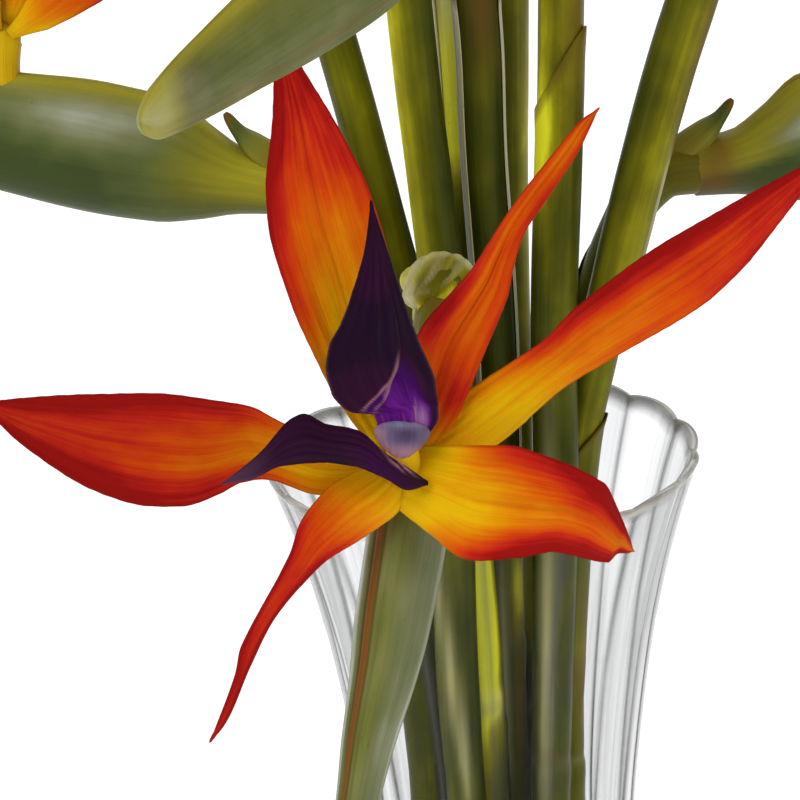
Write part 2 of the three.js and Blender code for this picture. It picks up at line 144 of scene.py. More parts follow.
def new_piece(name, shape, material):
    """Makes the object, which rides on the root and stands for the model's node of its name."""
    points = np.concatenate(shape.points) * MM
    corners = [faces.reshape(-1) for faces in shape.quads + shape.triangles]
    sizes = [np.full(len(faces), faces.shape[1]) for faces in shape.quads + shape.triangles]
    loops = np.concatenate(corners)
    sizes = np.concatenate(sizes)
    starts = np.concatenate([[0], np.cumsum(sizes)[:-1]])
    mesh = bpy.data.meshes.new(name + "_mesh")
    mesh.vertices.add(len(points))
    mesh.vertices.foreach_set("co", points.ravel())
    mesh.loops.add(len(loops))
    mesh.loops.foreach_set("vertex_index", loops)
    mesh.polygons.add(len(starts))
    mesh.polygons.foreach_set("loop_start", starts)
    mesh.polygons.foreach_set("use_smooth", np.ones(len(starts), bool))
    mesh.update(calc_edges=True)
    mesh.validate()
    for key, rows in (("place", shape.place), ("paint", shape.paint)):
        attribute = mesh.attributes.new(key, "FLOAT_VECTOR", "POINT")
        attribute.data.foreach_set("vector", np.concatenate(rows).ravel())
    mesh.materials.append(material)
    piece = bpy.data.objects.new(name + "_fine", mesh)
    bpy.context.collection.objects.link(piece)
    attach(piece, "root")
    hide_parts(name)


def grid_quads(rows, columns, closed=False):
    """Faces of a grid of points; a closed one joins its last column to its first."""
    row = np.arange(rows - 1)[:, None] * columns
    column = np.arange(columns if closed else columns - 1)[None, :]
    after = (column + 1) % columns
    quads = [row + column, row + after, row + columns + after, row + columns + column]
    return np.stack(quads, axis=-1).reshape(-1, 4)


def normals(surface, closed=False):
    """Unit normals of a grid of points."""
    down = np.gradient(surface, axis=0)
    if closed:
        across = np.roll(surface, -1, axis=1) - np.roll(surface, 1, axis=1)
    else:
        across = np.gradient(surface, axis=1)
    normal = np.cross(across, down)
    return normal / np.maximum(np.linalg.norm(normal, axis=-1, keepdims=True), 1e-9)


def add_sheet(shape, middle, thickness, place, paint):
    """A closed thin sheet with its faces on both sides of a grid of points."""
    rows, columns = middle.shape[:2]
    half = normals(middle) * thickness[..., None] / 2
    points = np.concatenate([(middle + half).reshape(-1, 3), (middle - half).reshape(-1, 3)])
    front = grid_quads(rows, columns)
    count = rows * columns
    back = front[:, ::-1] + count
    edge = np.concatenate([
        np.arange(0, columns - 1),
        np.arange(columns - 1, count - 1, columns),
        np.arange(count - 1, count - columns, -1),
        np.arange(count - columns, 0, -columns),
    ])
    after = np.roll(edge, -1)
    rim = np.stack([after, edge, edge + count, after + count], axis=-1)
    both = []
    for values in (place, paint):
        values = np.broadcast_to(np.asarray(values, float), middle.shape)
        both.append(np.concatenate([values.reshape(-1, 3)] * 2))
    shape.add(points, both[0], both[1], quads=np.concatenate([front, back, rim]))


def add_hose(shape, surface, place, paint):
    """A closed hose through rings of points, with a sharp-edged cap at each end."""
    rows, columns = surface.shape[:2]
    ends = np.stack([surface[0].mean(axis=0), surface[-1].mean(axis=0)])
    points = np.concatenate([surface.reshape(-1, 3), surface[0], surface[-1], ends])
    tails = []
    for values in (place, paint):
        values = np.broadcast_to(np.asarray(values, float), surface.shape)
        tails.append(np.concatenate([values.reshape(-1, 3), values[0], values[-1], values[[0, -1], 0]]))
    around = np.arange(columns)
    after = (around + 1) % columns
    first, last = rows * columns, (rows + 1) * columns
    middle = np.full(columns, (rows + 2) * columns)
    first_cap = np.stack([middle, first + after, first + around], axis=-1)
    last_cap = np.stack([middle + 1, last + around, last + after], axis=-1)
    quads = grid_quads(rows, columns, closed=True)
    shape.add(points, tails[0], tails[1], quads=quads, triangles=np.concatenate([first_cap, last_cap]))


def stack(*values):
    """Three grids of numbers as one grid of vectors."""
    return np.stack(np.broadcast_arrays(*[np.asarray(value, float) for value in values]), axis=-1)


# Curves and rules for shapes

def smooth(stations, at):
    """Values between given stations, without overshoot."""
    x, y = np.array(stations, float).T
    slope = np.diff(y) / np.diff(x)
    tangent = np.concatenate([slope[:1], np.zeros(len(x) - 2), slope[-1:]])
    same = slope[:-1] * slope[1:] > 0
    total = np.where(same, slope[:-1] + slope[1:], 1)
    tangent[1:-1] = np.where(same, 2 * slope[:-1] * slope[1:] / total, 0)
    at = np.clip(at, x[0], x[-1])
    k = np.clip(np.searchsorted(x, at, side="right") - 1, 0, len(x) - 2)
    step = x[k + 1] - x[k]
    t = (at - x[k]) / step
    return (y[k] * (1 + 2 * t) * (1 - t) ** 2 + tangent[k] * step * t * (1 - t) ** 2
            + y[k + 1] * t * t * (3 - 2 * t) - tangent[k + 1] * step * t * t * (1 - t))


def curve_through(points, share):
    """Points of the model's own curve through a stem's points, at shares from 0 to 1."""
    points = np.array(points, float)
    ends = [2 * points[0] - points[1], 2 * points[-1] - points[-2]]
    padded = np.concatenate([ends[:1], points, ends[1:]])
    result = []
    for value in share * (len(points) - 1):
        k = min(int(value), len(points) - 2)
        t = value - k
        p0, p1, p2, p3 = padded[k:k + 4]
        step = [max(np.linalg.norm(b - a) ** 0.5, 1e-4) for a, b in ((p0, p1), (p1, p2), (p2, p3))]
        t1 = ((p1 - p0) / step[0] - (p2 - p0) / (step[0] + step[1]) + (p2 - p1) / step[1]) * step[1]
        t2 = ((p2 - p1) / step[1] - (p3 - p1) / (step[1] + step[2]) + (p3 - p2) / step[2]) * step[1]
        c2 = -3 * p1 + 3 * p2 - 2 * t1 - t2
        c3 = 2 * p1 - 2 * p2 + t1 + t2
        result.append(p1 + t1 * t + c2 * t * t + c3 * t ** 3)
    return np.array(result)


def carried_frames(centres, first_side):
    """Side and over vectors along a line of points, carried without twist."""
    tangents = np.gradient(centres, axis=0)
    tangents /= np.linalg.norm(tangents, axis=1, keepdims=True)
    side = np.asarray(first_side, float)
    sides = []
    for tangent in tangents:
        side = unit(side - tangent * side.dot(tangent))
        sides.append(side)
    sides = np.array(sides)
    return sides, np.cross(sides, tangents)


def angles(columns):
    """A row of angles round a piece, in radians."""
    return np.linspace(0, 2 * math.pi, columns, endpoint=False)[None, :]


class Tube:
    """Rings of points round a curve: their shares along it, their angles and their frames."""

    def __init__(self, points, first_side, rows, columns):
        self.share = np.linspace(0, 1, rows)[:, None]
        self.around = angles(columns)
        self.centres = curve_through(points, self.share[:, 0])
        self.sides, self.overs = carried_frames(self.centres, first_side)

    def rings(self, wide, deep):
        """Points so far to the side of the curve and so far over it."""
        return (self.centres[:, None, :] + self.sides[:, None, :] * wide[..., None]
                + self.overs[:, None, :] * deep[..., None])

    def round_rings(self, radius):
        return self.rings(np.cos(self.around) * radius, np.sin(self.around) * radius)


def hump(x, middle, width):
    """A smooth bump of height 1."""
    return np.exp(-((x - middle) / width) ** 2)


def ramp_up(x, low, high):
    """Rises smoothly from 0 at low to 1 at high."""
    t = np.clip((x - low) / (high - low), 0, 1)
    return t * t * (3 - 2 * t)


def angle_from(degrees, middle):
    """How far an angle lies from another, from 0 to 180."""
    return np.abs((degrees - middle + 180) % 360 - 180)


def patched(tone, patches, at, degrees):
    """A tone and two weights, with what patches add to each of them at places and angles."""
    values = [tone, 0 * tone, 0 * tone]
    for middle, reach, angle, spread, *adds in patches:
        weight = hump(at, middle, reach) * hump(angle_from(degrees, angle), 0, spread)
        values = [value + add * weight for value, add in zip(values, adds)]
    return values


def ripple(a, b, seed, waves=5):
    """A seeded sum of sines between about -1 and 1, over two lengths in millimetres."""
    draw = np.random.default_rng(seed)
    total = 0
    for wave in range(1, waves + 1):
        first, second = draw.uniform(0.4, 1, 2) * wave
        total = total + np.sin(a * first + b * second + draw.uniform(0, 2 * math.pi)) / wave
    return total / 1.8


# Materials

def linear(code):
    """A colour written as six hexadecimal digits, as linear red, green and blue."""
    channels = [int(code[i:i + 2], 16) / 255 for i in (0, 2, 4)]
    return tuple(c / 12.92 if c <= 0.04045 else ((c + 0.055) / 1.055) ** 2.4 for c in channels)


class Nodes:
    """Short ways to add nodes to a material's tree."""

    def __init__(self, name):
        self.material = bpy.data.materials.new(name)
        self.material.use_nodes = True
        self.tree = self.material.node_tree
        self.shader = self.tree.nodes["Principled BSDF"]

    def node(self, kind, **settings):
        node = self.tree.nodes.new(kind)
        for key, value in settings.items():
            setattr(node, key, value)
        return node

    def link(self, output, socket):
        self.tree.links.new(output, socket)

    def paint(self):
        """The three values of the piece's paint."""
        source = self.node("ShaderNodeAttribute", attribute_name="paint")
        parts = self.node("ShaderNodeSeparateXYZ")
        self.link(source.outputs["Vector"], parts.inputs[0])
        return parts.outputs

    def place(self, across, along, apart=1.0):
        """The place on the piece, scaled across and along it."""
        source = self.node("ShaderNodeAttribute", attribute_name="place")
        scaled = self.node("ShaderNodeVectorMath", operation="MULTIPLY")
        self.link(source.outputs["Vector"], scaled.inputs[0])
        scaled.inputs[1].default_value = (across, along, apart)
        return scaled.outputs[0]

    def noise(self, vector, detail=2.0, roughness=0.5, distortion=0.0):
        texture = self.node("ShaderNodeTexNoise")
        texture.inputs["Scale"].default_value = 1
        texture.inputs["Detail"].default_value = detail
        texture.inputs["Roughness"].default_value = roughness
        texture.inputs["Distortion"].default_value = distortion
        self.link(vector, texture.inputs["Vector"])
        return texture.outputs["Fac"]

    def spread(self, value, low, high, to_low, to_high):
        node = self.node("ShaderNodeMapRange")
        self.link(value, node.inputs["Value"])
        for key, number in (("From Min", low), ("From Max", high), ("To Min", to_low), ("To Max", to_high)):
            node.inputs[key].default_value = number
        return node.outputs["Result"]

    def math(self, operation, first, second):
        node = self.node("ShaderNodeMath", operation=operation)
        for socket, value in zip(node.inputs, (first, second)):
            if isinstance(value, (int, float)):
                socket.default_value = value
            else:
                self.link(value, socket)
        return node.outputs[0]

    def ramp(self, value, stops):
        node = self.node("ShaderNodeValToRGB")
        elements = node.color_ramp.elements
        for i, (position, colour) in enumerate(stops):
            element = elements[i] if i < 2 else elements.new(position)
            element.position = position
            element.color = (*colour, 1)
        self.link(value, node.inputs["Fac"])
        return node.outputs["Color"]

    def mix(self, share, first, second):
        node = self.node("ShaderNodeMix", data_type="RGBA")
        self.link(share, node.inputs["Factor"])
        self.link(first, node.inputs[6])
        node.inputs[7].default_value = (*second, 1)
        return node.outputs[2]

    def bump(self, height, distance):
        node = self.node("ShaderNodeBump")
        node.inputs["Strength"].default_value = 1
        node.inputs["Distance"].default_value = distance * MM
        self.link(height, node.inputs["Height"])
        self.feed("Normal", node.outputs["Normal"])

    def feed(self, socket, output):
        """Links an output to one of the shader's sockets."""
        self.link(output, self.shader.inputs[socket])

    def keep(self, socket, value):
        """Sets what is the same all over on the shader's own socket."""
        self.shader.inputs[socket].default_value = value


def plant_material(name, look, streaks, grain, roughness, gloss, specks=None):
    """A finish of leaf or petal: a ramp of tones under two more colours, all streaked lengthwise.

    The piece's paint holds the tone and the two weights, and its place runs across and along it.
    """
    nodes = Nodes(name)
    base, first_weight, second_weight = nodes.paint()
    across, along, amount = streaks
    coarse = nodes.noise(nodes.place(across, along), detail=4, roughness=0.6, distortion=0.2)
    blotch = nodes.noise(nodes.place(0.09, 0.05, 3), detail=3)
    tone = nodes.math("ADD", base, nodes.spread(coarse, 0.25, 0.75, -amount, amount))
    tone = nodes.math("ADD", tone, nodes.spread(blotch, 0.3, 0.7, -0.12, 0.12))
    *tones, first, second = [tuple(getattr(look, key)) for key in look.colours()]
    last = len(tones) - 1
    colour = nodes.ramp(tone, [(i / last, shade) for i, shade in enumerate(tones)])
    patchy = nodes.spread(coarse, 0.3, 0.6, 0.72, 1)
    colour = nodes.mix(nodes.math("MULTIPLY", first_weight, patchy), colour, first)
    colour = nodes.mix(nodes.math("MULTIPLY", second_weight, patchy), colour, second)
    if specks:
        spots = nodes.noise(nodes.place(1.1, 0.7, 5), detail=1)
        colour = nodes.mix(nodes.spread(spots, 0.76, 0.8, 0, 0.6), colour, linear(specks))
    nodes.feed("Base Color", colour)
    fine_across, fine_along, depth = grain
    fine = nodes.noise(nodes.place(fine_across, fine_along), detail=3, roughness=0.6)
    pores = nodes.noise(nodes.place(4.5, 3.5, 2), detail=2)
    relief = nodes.math("ADD", fine, nodes.math("MULTIPLY", pores, 0.35))
    nodes.bump(relief, depth)
    low, high = roughness
    nodes.feed("Roughness", nodes.spread(fine, 0.3, 0.7, low, high))
    level, tint = gloss
    nodes.keep("Specular IOR Level", level)
    nodes.keep("Specular Tint", (*linear(tint), 1))
    return nodes.material


def sepal_material(look):
    return plant_material("sepal_finish", look, (0.62, 0.016, 0.13), (2.6, 0.08, 0.16), (0.42, 0.62),
                          (0.14, "ff9a50"))


def petal_material(look):
    return plant_material("petal_finish", look, (0.7, 0.04, 0.1), (2.4, 0.12, 0.16), (0.38, 0.58),
                          (0.14, "b080ff"))


def spathe_material(look):
    return plant_material("spathe_finish", look, (0.42, 0.016, 0.09), (1.7, 0.03, 0.14), (0.36, 0.55),
                          (0.16, "f0ffd0"), specks="4a3d14")


def stem_material(look):
    return plant_material("stem_finish", look, (0.42, 0.012, 0.12), (1.6, 0.03, 0.1), (0.32, 0.5),
                          (0.16, "f4ffa0"), specks="4a3410")


# Blades: sepals and petals

# Open bloom, as seen from the front. Each edge is a list of points, ahead of the centre along
# the blade's turn and to the left of it. Warm is the tone along the middle, edges are what its
# left and right edges add to it, and patches add more (share along, reach, place across, spread,
# what they add). Crease is the depth of the fold along the middle, and shade darkens a blade.
OPEN_SEPALS = [
    {"turn": 107, "tip": (115, 2), "lift": -2, "rise": -2, "arch": 5, "cup": 0.14,
     "left": [(4, 5), (22, 12), (29, 13.7), (46, 16.7), (62, 17.7), (74, 15.8), (92, 9)],
     "right": [(4, -5), (30, -8.5), (50, -10), (67, -9.3), (83, -6.5), (100, -2)],
     "warm": [(0, 0.02), (0.25, 0.12), (0.5, 0.4), (0.75, 0.8), (1, 1)], "edges": (0.46, 0.16),
     "crease": 0.5},
    {"turn": 64, "tip": (101.5, -1), "lift": 1.5, "rise": 4, "arch": -3, "cup": 0.3,
     "left": [(4, 3), (18, 9.5), (32, 12.1), (44, 9.5), (53, 7.5), (68, 6.4), (86, 3.6), (96, 1.7)],
     "right": [(4, -4), (16, -6.2), (35, -4.8), (48.5, -3.7), (57, -1.3), (66, 0.3), (74, -0.4),
               (90, -1.7)],
     "warm": [(0, 0.25), (0.3, 0.46), (0.6, 0.5), (0.85, 0.48), (1, 0.5)], "edges": (0.3, 0.26),
     "crease": 1.1, "patches": [(0.36, 0.1, 0.75, 0.4, 0.35), (0.17, 0.08, -0.6, 0.5, 0.4)]},
    {"turn": 38.5, "tip": (133, 0), "lift": -1.5, "rise": 14, "arch": 2, "cup": -0.3,
     "left": [(4, 3), (14, 3.6), (25, 4.9), (46, 4), (59, 5.9), (76, 6.4), (104, 4.1), (118, 2.3)],
     "right": [(4, -4.5), (24, -10.4), (44, -8.7), (58, -9.9), (85, -12.4), (97, -11), (110, -7.3)],
     "warm": [(0, 0), (0.18, 0.1), (0.38, 0.4), (0.6, 0.56), (0.8, 0.76), (1, 0.85)],
     "edges": (0.5, 0.12), "crease": 0.4,
     "patches": [(0.62, 0.2, 0.5, 0.5, 0.2), (0.3, 0.2, -0.7, 0.4, -0.14)]},
    {"turn": -18, "tip": (61, 0), "lift": 2, "rise": 6, "arch": 13, "cup": -0.15,
     "left": [(2, 6.3), (17, 12.1), (24, 14.4), (34, 14.6), (46.5, 13.4), (53, 8.3), (59, 2.2)],
     "right": [(2, -10), (11.6, -13.4), (20, -16.2), (33.5, -11.1), (41, -7), (55.3, -4.9),
               (56.8, -2), (60, -0.8)],
     "warm": [(0, 0.0), (0.28, 0.08), (0.5, 0.38), (0.75, 0.5), (1, 0.46)], "edges": (0.66, 0.66),
     "crease": 0.3, "patches": [(0.75, 0.2, 0.5, 0.4, 0.2)]},
    {"turn": -123.5, "tip": (83, -1.5), "lift": 2.5, "rise": 14, "arch": 6, "cup": -0.3,
     "left": [(4, 4.5), (9.5, 5.7), (15, 4), (22, 1), (32, -3.3), (49, -5.5), (62, -3.8), (78, -0.9)],
     "right": [(4, -6), (9, -9.5), (16, -12.6), (25, -13.4), (34, -11.3), (59, -8.6), (66, -5.8),
               (80, -2.2)],
     "warm": [(0, 0.06), (0.14, 0.24), (0.3, 0.62), (0.5, 0.82), (1, 0.92)], "edges": (0.3, 0.3),
     "crease": 0.3},
    {"turn": 173, "tip": (106, 1), "lift": -2, "rise": 8, "arch": 0, "cup": 0.12,
     "left": [(4, 5), (20, 10.2), (32, 8.3), (38.5, 9.9), (44, 13.8), (52, 18), (63, 19.4), (73, 18),
              (93, 9.8)],
     "right": [(4, -4), (29, -5.7), (41, -9), (57, -8.9), (78, -6), (101, -0.9)],
     "warm": [(0, 0.04), (0.2, 0.2), (0.42, 0.56), (0.7, 0.76), (1, 0.8)], "edges": (0.42, 0.42),
     "crease": 0.4, "shade": 0.24, "patches": [(0.72, 0.25, 0.8, 0.4, 0.1)]},
]

# The arrowhead, whose left lobe is folded forward over its middle, and the small petal beside it
ARROWHEAD = {
    "turn": 101, "tip": (66.7, 0), "lift": 10, "rise": 9, "arch": 5, "cup": -0.35, "crease": 0.7,
    "left": [(6, 4), (11, 5.4), (14.3, 6), (15.8, 11.4), (17.5, 13.6), (21, 15.7), (27, 16.5), (33, 15),
             (38, 11.5), (45, 7.7), (55, 3.3)],
    "right": [(6, -5.5), (11.5, -9.8), (19.5, -10.2), (30, -7.5), (40, -5), (54, -2.3)],
    "warm": [(0, 0.95), (0.06, 0.84), (0.16, 0.74), (0.3, 0.6), (0.46, 0.3), (1, 0.12)],
    "edges": (-0.1, -0.3),
}
ARROWHEAD_FOLD = [(8, 6.2), (14, 6.2), (16, 5.7), (18.2, 3.4), (21, 2.3), (25.2, -0.4), (32, -2), (48, -1)]
ARROWHEAD_TEAR = [(14, 10.4), (16.5, 8.4), (20.5, 3.6), (25.2, -0.2), (30, -1.6)]
ARROWHEAD_FOLD_RISE = 1.5
COMPANION = {
    "turn": 185, "tip": (46.5, 1.1), "lift": 9, "rise": 6, "arch": 9, "cup": -0.4, "crease": 0.4,
    "left": [(-5, 4.4), (0, 5.4), (6, 2.1), (14, -1.5), (23.4, -2.9), (31.6, -2.6), (40, 0.4)],
    "right": [(-5, 3.6), (0, -0.2), (5.6, -4), (12.6, -10.3), (20.7, -12.4), (26, -15.1), (29, -14),
              (37, -6.1)],
    "warm": [(0, 0.12), (0.25, 0.3), (0.5, 0.1), (1, 0.22)], "edges": (0.0, 0.04),
}

# The dome at the arrowhead's foot
DOME_CENTRE = (-1.7, 8.9, 11)
DOME_HALF = (7.0, 6.6, 4.6)

# Blades of the blooms whose florets stand up in a fan, by the model's own rules. Belly is the share
# along a blade at which it is widest, root and claw shape its narrow part, and start is where it
# begins, if not at the usual place.
FAN_KEYS = ("turn", "length", "width", "belly", "root", "taper", "bow", "lift", "rise", "arch", "cup")
FAN_SEPALS = [dict(zip(FAN_KEYS, row)) for row in (
    (121, 98, 19, 0.5, 0.3, 1.4, 6, -3.5, -12, 2, 0.25),
    (103, 108, 22, 0.55, 0.26, 1.5, -4, 0, 8, -2, 0.2),
    (86, 110, 20, 0.5, 0.28, 1.3, 5, 3.5, -8, 2, 0.25),
    (68, 104, 23, 0.56, 0.26, 1.8, -5, -3.5, -14, 0, 0.15),
    (49, 100, 19, 0.5, 0.3, 1.3, -6, 0, -22, 2, 0.25),
    (27, 88, 22, 0.52, 0.26, 2, 6, 3, -10, -2, 0.15),
)]
FAN_PETALS = [
    {**dict(zip(FAN_KEYS, (58, 64, 24, 0.3, 0.42, 0.85, 3, 10, 14, 3, -0.35))), "claw": 0.12, "start": 0},
    {**dict(zip(FAN_KEYS, (24, 52, 13, 0.5, 0.4, 1.4, 7, 10, 10, 5, -0.35))), "start": -2},
]
FAN_START = 4

# How much the draw varies a fan's blades, and the numbers of the draw itself
TURN_SPREAD = 4
LENGTH_SPREAD = 0.1
RISE_SPREAD = 4
SEED_STEP = 7654321
DRAW_FACTOR = 16807
DRAW_MODULUS = 2147483647

# How finely blades are divided along and across, the share of their thickness that is left at the
# edges, the share of their length that rounds off the tip, and the least half width
OPEN_GRID = (84, 33)
ARROWHEAD_GRID = (220, 91)
FAN_GRID = (46, 15)
EDGE_SHARE = 0.39
TIP_ROUNDING = 0.035
LEAST_HALF_WIDTH = 0.5

# Fine relief of the blades: how far their edges fray, how high the ribs of an open blade stand and
# how close they are, the width of the fold along the middle as a share of the half width, and how
# far the edges wave as a share of it
FRAY = 0.07
FRAY_PACE = 1.7
RIB_HEIGHT = 0.16
RIB_PACE = 19
OPEN_FOLD_WIDTH, FAN_FOLD_WIDTH = 0.1, 0.12
OPEN_WAVE, FAN_WAVE = 0.05, 0.12

# Paint of the blades: how dark the fold line is, which paints shade in the fold, and how dark the hem is
FOLD_SHADE = 0.6
HEM_DARK = 0.35

# Which way florets face, and what carries them: the stalk from its socket over its wrist to its
# head, the throat of the open bloom and the peg of its petals
OPEN_FACE = {"up": (-0.93, -0.07, 0.37), "out": (0.33, 0.3, 0.9)}
FAN_FACE = {"up": (0, 0, 1), "out": (0, -1, 0)}
STALK_SOCKET = (4, 5)
STALK_WRIST = (1, 17)
STALK_HEAD_RISE = 3
STALK_RADII = [(0, 3.6), (0.33, 4.2), (0.67, 4.9), (1, 3.8)]
THROAT_LINE = [(0, 0, 1), (-0.3, 1.5, 4.5), (-1, 4.5, 8), (-1.6, 7, 11)]
THROAT_RADII = [(0, 4.2), (0.3, 4.3), (0.7, 3.9), (1, 3.2)]
PEG_RADIUS = 2.5
PEG_BOTTOM = 1
PEG_TOP = 3


def draws(seed):
    """The model's own seeded draw, so that each fan matches its solids."""
    state = (seed * SEED_STEP) % DRAW_MODULUS
    while True:
        state = (state * DRAW_FACTOR) % DRAW_MODULUS
        yield state / DRAW_MODULUS


def varied(specs, draw):
    changed = []
    for spec in specs:
        turn = spec["turn"] + TURN_SPREAD * (next(draw) - 0.5)
        length = spec["length"] * (1 + LENGTH_SPREAD * (next(draw) - 0.5))
        rise = spec["rise"] + RISE_SPREAD * (next(draw) - 0.5)
        changed.append({**spec, "turn": turn, "length": length, "rise": rise})
    return changed


def blade_grid(grid):
    """Shares along a blade, closer together at its tip, and places across it from -1 to 1."""
    rows, columns = grid
    along = np.sin(np.linspace(0, math.pi / 2, rows)) ** 0.92
    return along[:, None], np.linspace(-1, 1, columns)[None, :]


def tip_rounding(along):
    """Closes the last stretch of a blade to a round tip."""
    near = np.clip((along - (1 - TIP_ROUNDING)) / TIP_ROUNDING, 0, 0.985)
    return np.sqrt(1 - near ** 2)


def turned(ahead, aside, out, turn):
    """Points ahead and aside of a direction, in the florets' frame."""
    angle = math.radians(turn)
    return stack(np.cos(angle) * ahead - np.sin(angle) * aside,
                 np.sin(angle) * ahead + np.cos(angle) * aside, out)


def open_blade(spec, seed, grid=OPEN_GRID):
    """The surface of an open bloom's blade between its two edges, with its half width."""
    along, across = blade_grid(grid)
    start = spec["left"][0][0]
    ahead = start + (spec["tip"][0] - start) * along
    left = smooth(spec["left"] + [spec["tip"]], ahead)
    right = smooth(spec["right"] + [spec["tip"]], ahead)
    half = np.maximum((left - right) / 2, LEAST_HALF_WIDTH) * tip_rounding(along)
    fray = FRAY * ripple(ahead * FRAY_PACE, 0, seed, 7) * np.abs(across) ** 3 * ramp_up(half, 1, 5)
    aside = (left + right) / 2 + across * (half + fray)
    round_cup = 0.55 * across ** 2 + 0.45 * np.abs(across) ** 1.2
    fold = -spec["crease"] * np.exp(-(np.abs(across) / OPEN_FOLD_WIDTH) ** 1.4) * np.sign(spec["cup"])
    ribs = np.cos(across * RIB_PACE + ripple(ahead * 0.05, across, seed + 1))
    ribs = RIB_HEIGHT * ribs * ramp_up(half, 2, 6)
    wave = OPEN_WAVE * half * np.abs(across) ** 3 * ripple(ahead * 0.14, across * 0.8, seed + 2, 3)
    out = (spec["lift"] + spec["rise"] * along ** 2 + spec["arch"] * 4 * along * (1 - along)
           + spec["cup"] * round_cup * half + fold * ramp_up(half, 1.5, 5) + ribs + wave)
    return ahead, aside, out, half, along, across


def blade_place(across, ahead, half, number):
    return stack(across * half.max(), ahead, number * 11.3)


def blade_thickness(across, along, full):
    """Full in the middle of a blade and thinner towards its edges and tip."""
    return full * (1 - (1 - EDGE_SHARE) * np.abs(across) ** 4) * (1 - 0.4 * along)


def warmth(spec, along, across):
    """Tone of a blade: along its middle, and what its left and right edges add."""
    left, right = spec["edges"]
    middle = smooth(spec["warm"], along)
    sides = left * ramp_up(across, 0.25, 1) + right * ramp_up(-across, 0.25, 1)
    return middle + sides * ramp_up(along, 0.05, 0.4)


def add_open_sepal(shape, spec, number, full):
    ahead, aside, out, half, along, across = open_blade(spec, 40 + number)
    surface = turned(ahead, aside, out, spec["turn"])
    tone = warmth(spec, along, across)
    for at, reach, middle, spread, add in spec.get("patches", []):
        tone = tone + add * hump(along, at, reach) * hump(across, middle, spread)
    # A dark line along the middle, deeper where the fold is deeper, paints shade in the fold.
    crease = FOLD_SHADE * hump(across, 0, 0.035) * ramp_up(along, 0.15, 0.4) * min(spec["crease"], 1)
    hem_and_shade = HEM_DARK * ramp_up(np.abs(across), 0.93, 1)
    # A blade given a shade is darkened over its outer part with painted shade.
    hem_and_shade = np.maximum(hem_and_shade, spec.get("shade", 0) * ramp_up(along, 0.1, 0.5))
    paint = stack(tone, 0.25 * ramp_up(0.06 - along, 0, 0.06), np.maximum(crease, hem_and_shade))
    place = blade_place(across, ahead, half, number)
    add_sheet(shape, surface, blade_thickness(across, along, full), place, paint)


def blade_width(spec, along):
    """The model's share of full width along a fan's blade."""
    claw = spec.get("claw", 0)
    grown = np.clip((along - claw) / (spec["belly"] - claw), 0, 1)
    opening = spec["root"] + (1 - spec["root"]) * np.sin(math.pi / 2 * grown)
    past = np.clip((along - spec["belly"]) / (1 - spec["belly"]), 0, 1)
    return np.where(along < spec["belly"], opening, np.maximum(1 - past ** spec["taper"], 0.05))


def fan_line(spec, along):
    start = spec.get("start", FAN_START)
    bulge = 4 * along * (1 - along)
    ahead = start + (spec["length"] - start) * along
    out = spec["lift"] + spec["rise"] * along ** 2 + spec["arch"] * bulge
    return turned(ahead, spec["bow"] * bulge, out, spec["turn"])


def fan_blade(spec, seed, grid=FAN_GRID):
    """The surface of a fan's blade, with its half width."""
    along, across = blade_grid(grid)
    line = along[:, 0]
    centre = fan_line(spec, line)
    tangent = fan_line(spec, line + 0.01) - fan_line(spec, line - 0.01)
    tangent /= np.linalg.norm(tangent, axis=1, keepdims=True)
    face = np.array([0, 0, 1]) - tangent * tangent[:, 2:]
    face /= np.linalg.norm(face, axis=1, keepdims=True)
    wide = np.cross(tangent, face)
    root = 0.5 + 0.5 * ramp_up(along, 0, 0.09)
    half = spec["width"] / 2 * blade_width(spec, along) * tip_rounding(along) * root
    length = spec["length"]
    fray = FRAY * ripple(along * length * FRAY_PACE, 0, seed, 6) * np.abs(across) ** 3
    fold = 0.5 * np.sign(spec["cup"]) * np.exp(-(np.abs(across) / FAN_FOLD_WIDTH) ** 1.4)
    fold = fold * ramp_up(half, 1.5, 5)
    wave = FAN_WAVE * half * np.abs(across) ** 3 * ripple(along * length * 0.12, across, seed + 1, 3)
    lean = spec["cup"] * across ** 2 * half - fold + wave
    surface = (centre[:, None, :] + wide[:, None, :] * (across * half + fray)[..., None]
               + face[:, None, :] * lean[..., None])
    return surface, half, along, across


def add_fan_sepal(shape, spec, number, seed, full):
    surface, half, along, across = fan_blade(spec, seed)
    tone = 0.03 + 0.58 * ramp_up(along, 0, 0.24) + 0.25 * ramp_up(along, 0.5, 1)
    tone = tone + 0.32 * np.abs(across) ** 2 * ramp_up(along, 0.1, 0.4)
    # A dark line along the middle paints shade in the fold.
    crease = FOLD_SHADE * hump(across, 0, 0.06) * ramp_up(along, 0.1, 0.3)
    paint = stack(tone, 0.2 * ramp_up(0.1 - along, 0, 0.1), crease)
    place = blade_place(across, along * spec["length"], half, number + seed)
    add_sheet(shape, surface, blade_thickness(across, along, full), place, paint)


def add_fan_petal(shape, spec, number, seed, full):
    surface, half, along, across = fan_blade(spec, seed + 5)
    tone = 0.58 - 0.42 * ramp_up(along, 0.2, 0.9) - 0.1 * np.abs(across)
    paint = stack(tone, 0.5 * ramp_up(0.1 - along, 0, 0.1), 0.5 * ramp_up(np.abs(across), 0.9, 1))
    place = blade_place(across, along * spec["length"], half, number + seed)
    add_sheet(shape, surface, blade_thickness(across, along, full), place, paint)


